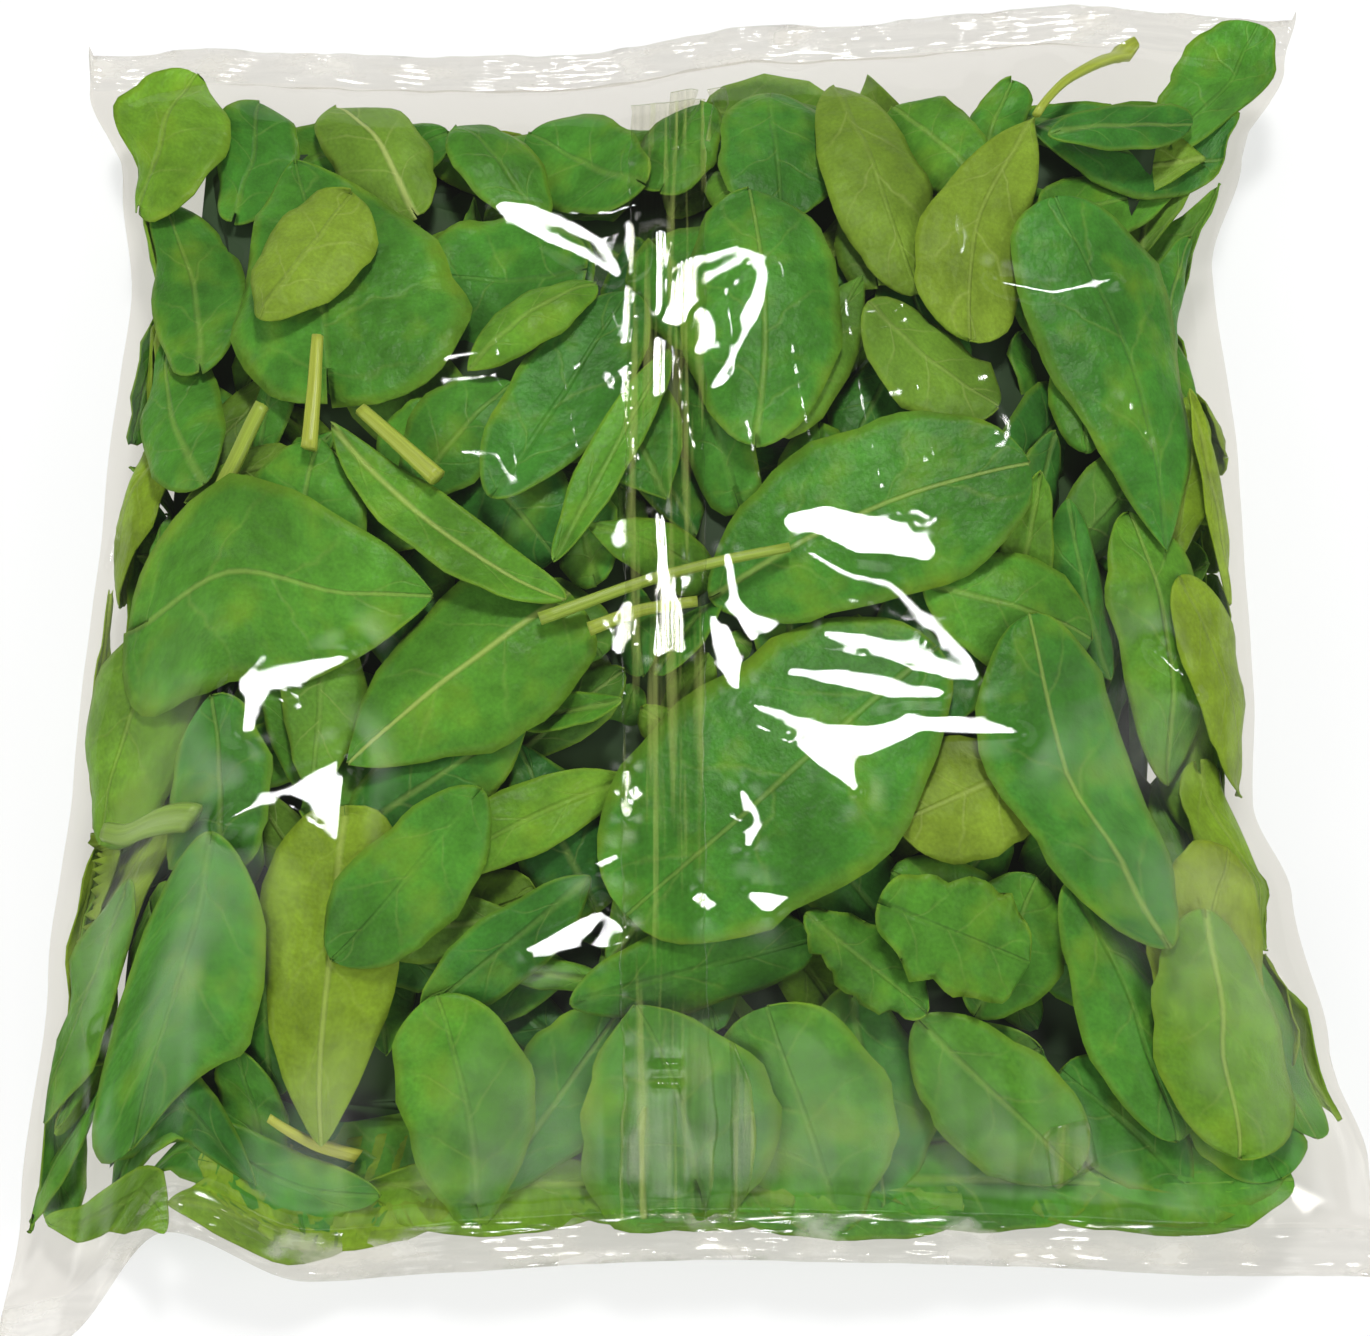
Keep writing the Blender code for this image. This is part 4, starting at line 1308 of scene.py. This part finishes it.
def tucks_piece():
    mesh = bmesh.new()
    for number, tuck in enumerate(TUCKS):
        _, length = band_place(tuck, np.zeros(1))
        columns, rows = (34, 330) if number == 0 else (8, max(8, int(length / 1.2)))
        points = bmesh.ops.create_grid(mesh, x_segments=columns, y_segments=rows, size=0.5)["verts"]
        place = np.array([point.co for point in points])
        u, v = 2 * place[:, 0], np.clip(place[:, 1] + 0.5, 0, 1)
        way, _ = band_place(tuck, v)
        ahead, _ = band_place(tuck, np.clip(v + 0.01, 0, 1))
        behind, _ = band_place(tuck, np.clip(v - 0.01, 0, 1))
        run = (ahead - behind)[:, :2]
        run /= np.linalg.norm(run, axis=1, keepdims=True)
        wide = way[:, 2] * (1 + 0.03 * np.sin(0.21 * way[:, 1]) + 0.02 * np.sin(0.63 * way[:, 1]))
        if number == 0:  # laid so that the band's first side is the seam's free edge, on the left
            run = np.tile([0.0, 1.0], (len(u), 1))
        x, y = way[:, 0] + run[:, 1] * u * wide, way[:, 1] - run[:, 0] * u * wide
        s, t = map_place(x, y)
        solid = film_surface(s, t)
        free = np.clip(-u, 0, 1) ** 4 if number == 0 else 0
        stand = 0.35 + 0.3 * (1 - u * u) + free * (0.7 + 0.5 * np.sin(0.35 * y) + 0.3 * np.sin(1.1 * y))
        if number == 0:
            weld = np.clip(1 - ((x + 3.2) / 4.6) ** 4, 0, 1)
            stand = stand + weld * 0.07 * np.sin(3.4 * x + 1.5 * np.sin(y / 23)) * (0.4 + np.sin(y / 9) ** 2)
        solid[:, 2] += stand
        solid *= MM
        for i, point in enumerate(points):
            point.co = solid[i]
    data = bpy.data.meshes.new("film_tucks")
    mesh.to_mesh(data)
    mesh.free()
    data.shade_smooth()
    piece = bpy.data.objects.new("film_tucks", data)
    bpy.context.scene.collection.objects.link(piece)
    wall = piece.modifiers.new("doubled_film", "SOLIDIFY")
    wall.thickness = 0.18 * MM
    wall.offset = 0
    wall.material_offset_rim = 1
    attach(piece, "root")
    print("tucks:", len(data.polygons), "faces")
    return piece


tucks = tucks_piece()


# %% Clear film: thin, glossy, a little milky
def film_material(name, haze, tint=(0.90, 0.886, 0.856, 1.0), front=0.022, grain=None, milky=(0.0, 0.0), milk="#F1EEE4"):
    """Polypropylene film, cast and stretched: nearly all light goes through, and both faces mirror.

    Drawn film has a grain: how fine it is across and along the bag, in lines to a metre, and how milky it gets."""
    material, tree = new_material(name)
    facing = add(tree, "ShaderNodeLayerWeight", {"Blend": 0.5})
    steep = add(tree, "ShaderNodeMath", {0: facing.outputs["Facing"], 1: 5.0}, operation="POWER")
    mirror = add(tree, "ShaderNodeMapRange", {0: steep.outputs[0], 1: 0.0, 2: 1.0, 3: front, 4: 0.22})
    clear = add(tree, "ShaderNodeBsdfTransparent", {"Color": tint})
    cloudy = add(tree, "ShaderNodeBsdfDiffuse", {"Color": colour(milk)})
    if grain:
        place = add(tree, "ShaderNodeNewGeometry")
        lines = add(tree, "ShaderNodeMapping", {"Vector": place.outputs["Position"], "Scale": (*grain[0], 0.0)})
        lines = add(tree, "ShaderNodeTexNoise", {"Vector": lines.outputs["Vector"], "Scale": 1.0, "Detail": 3.0}, noise_dimensions="2D")
        dark = [part * 0.86 for part in tint[:3]] + [1.0]
        drawn = add(tree, "ShaderNodeMix", {0: lines.outputs["Fac"], 6: tint, 7: dark}, data_type="RGBA")
        tree.links.new(drawn.outputs[2], clear.inputs["Color"])
        cloud = add(tree, "ShaderNodeMapping", {"Vector": place.outputs["Position"], "Scale": (*grain[1], 0.0)})
        cloud = add(tree, "ShaderNodeTexNoise", {"Vector": cloud.outputs["Vector"], "Scale": 1.0, "Detail": 4.0}, noise_dimensions="2D")
        haze = add(tree, "ShaderNodeMapRange", {0: cloud.outputs["Fac"], 1: 0.52, 2: 0.68, 3: milky[0], 4: milky[1]}).outputs[0]
    body = add(tree, "ShaderNodeMixShader", {0: haze, 1: clear.outputs[0], 2: cloudy.outputs[0]})
    gloss = add(tree, "ShaderNodeBsdfGlossy", {"Color": (1.0, 1.0, 1.0, 1.0), "Roughness": 0.08})
    surface = add(tree, "ShaderNodeMixShader", {0: mirror.outputs["Result"], 1: body.outputs[0], 2: gloss.outputs[0]})
    add(tree, "ShaderNodeOutputMaterial", {"Surface": surface.outputs[0]})
    return material


film.data.materials.append(film_material("clear_polypropylene_film", 0.004))
film.data.materials.append(film_material(
    "sealed_film", 0.0, (0.935, 0.925, 0.90, 1.0), grain=((40, 520), (60, 110)), milky=(0.02, 0.4)
))
for piece in (film, tucks):  # so thin and clear that it throws next to no shadow
    piece.visible_shadow = False
    piece.visible_diffuse = False
# Painted reflection: the doubled film's milk is yellow-green, for the leaves' green light caught in the seam band.
tucks.data.materials.append(film_material(
    "doubled_film", 0.0, (0.985, 0.985, 0.94, 1.0), 0.016, grain=((900, 12), (420, 16)), milky=(0.0, 0.13), milk="#CBD97A"
))
tucks.data.materials.append(film_material("film_cut_edge", 0.05, (0.55, 0.60, 0.42, 1.0)))

# %% [markdown]
# ## The table
#
# A plain pale surface that is not part of the bag.

# %% Table
table_mesh = bmesh.new()
bmesh.ops.create_grid(table_mesh, x_segments=1, y_segments=1, size=3.0)
table_data = bpy.data.meshes.new("table")
table_mesh.to_mesh(table_data)
table_mesh.free()
table = bpy.data.objects.new("table", table_data)
bpy.context.scene.collection.objects.link(table)
table_paint, tree = new_material("white_table")
paint = add(tree, "ShaderNodeBsdfPrincipled", {
    "Base Color": (0.38, 0.38, 0.38, 1.0), "Roughness": 0.8, "Specular IOR Level": 0.1,
    "Emission Color": (1.0, 1.0, 1.0, 1.0), "Emission Strength": 0.62,
})
add(tree, "ShaderNodeOutputMaterial", {"Surface": paint.outputs[0]})
table_data.materials.append(table_paint)
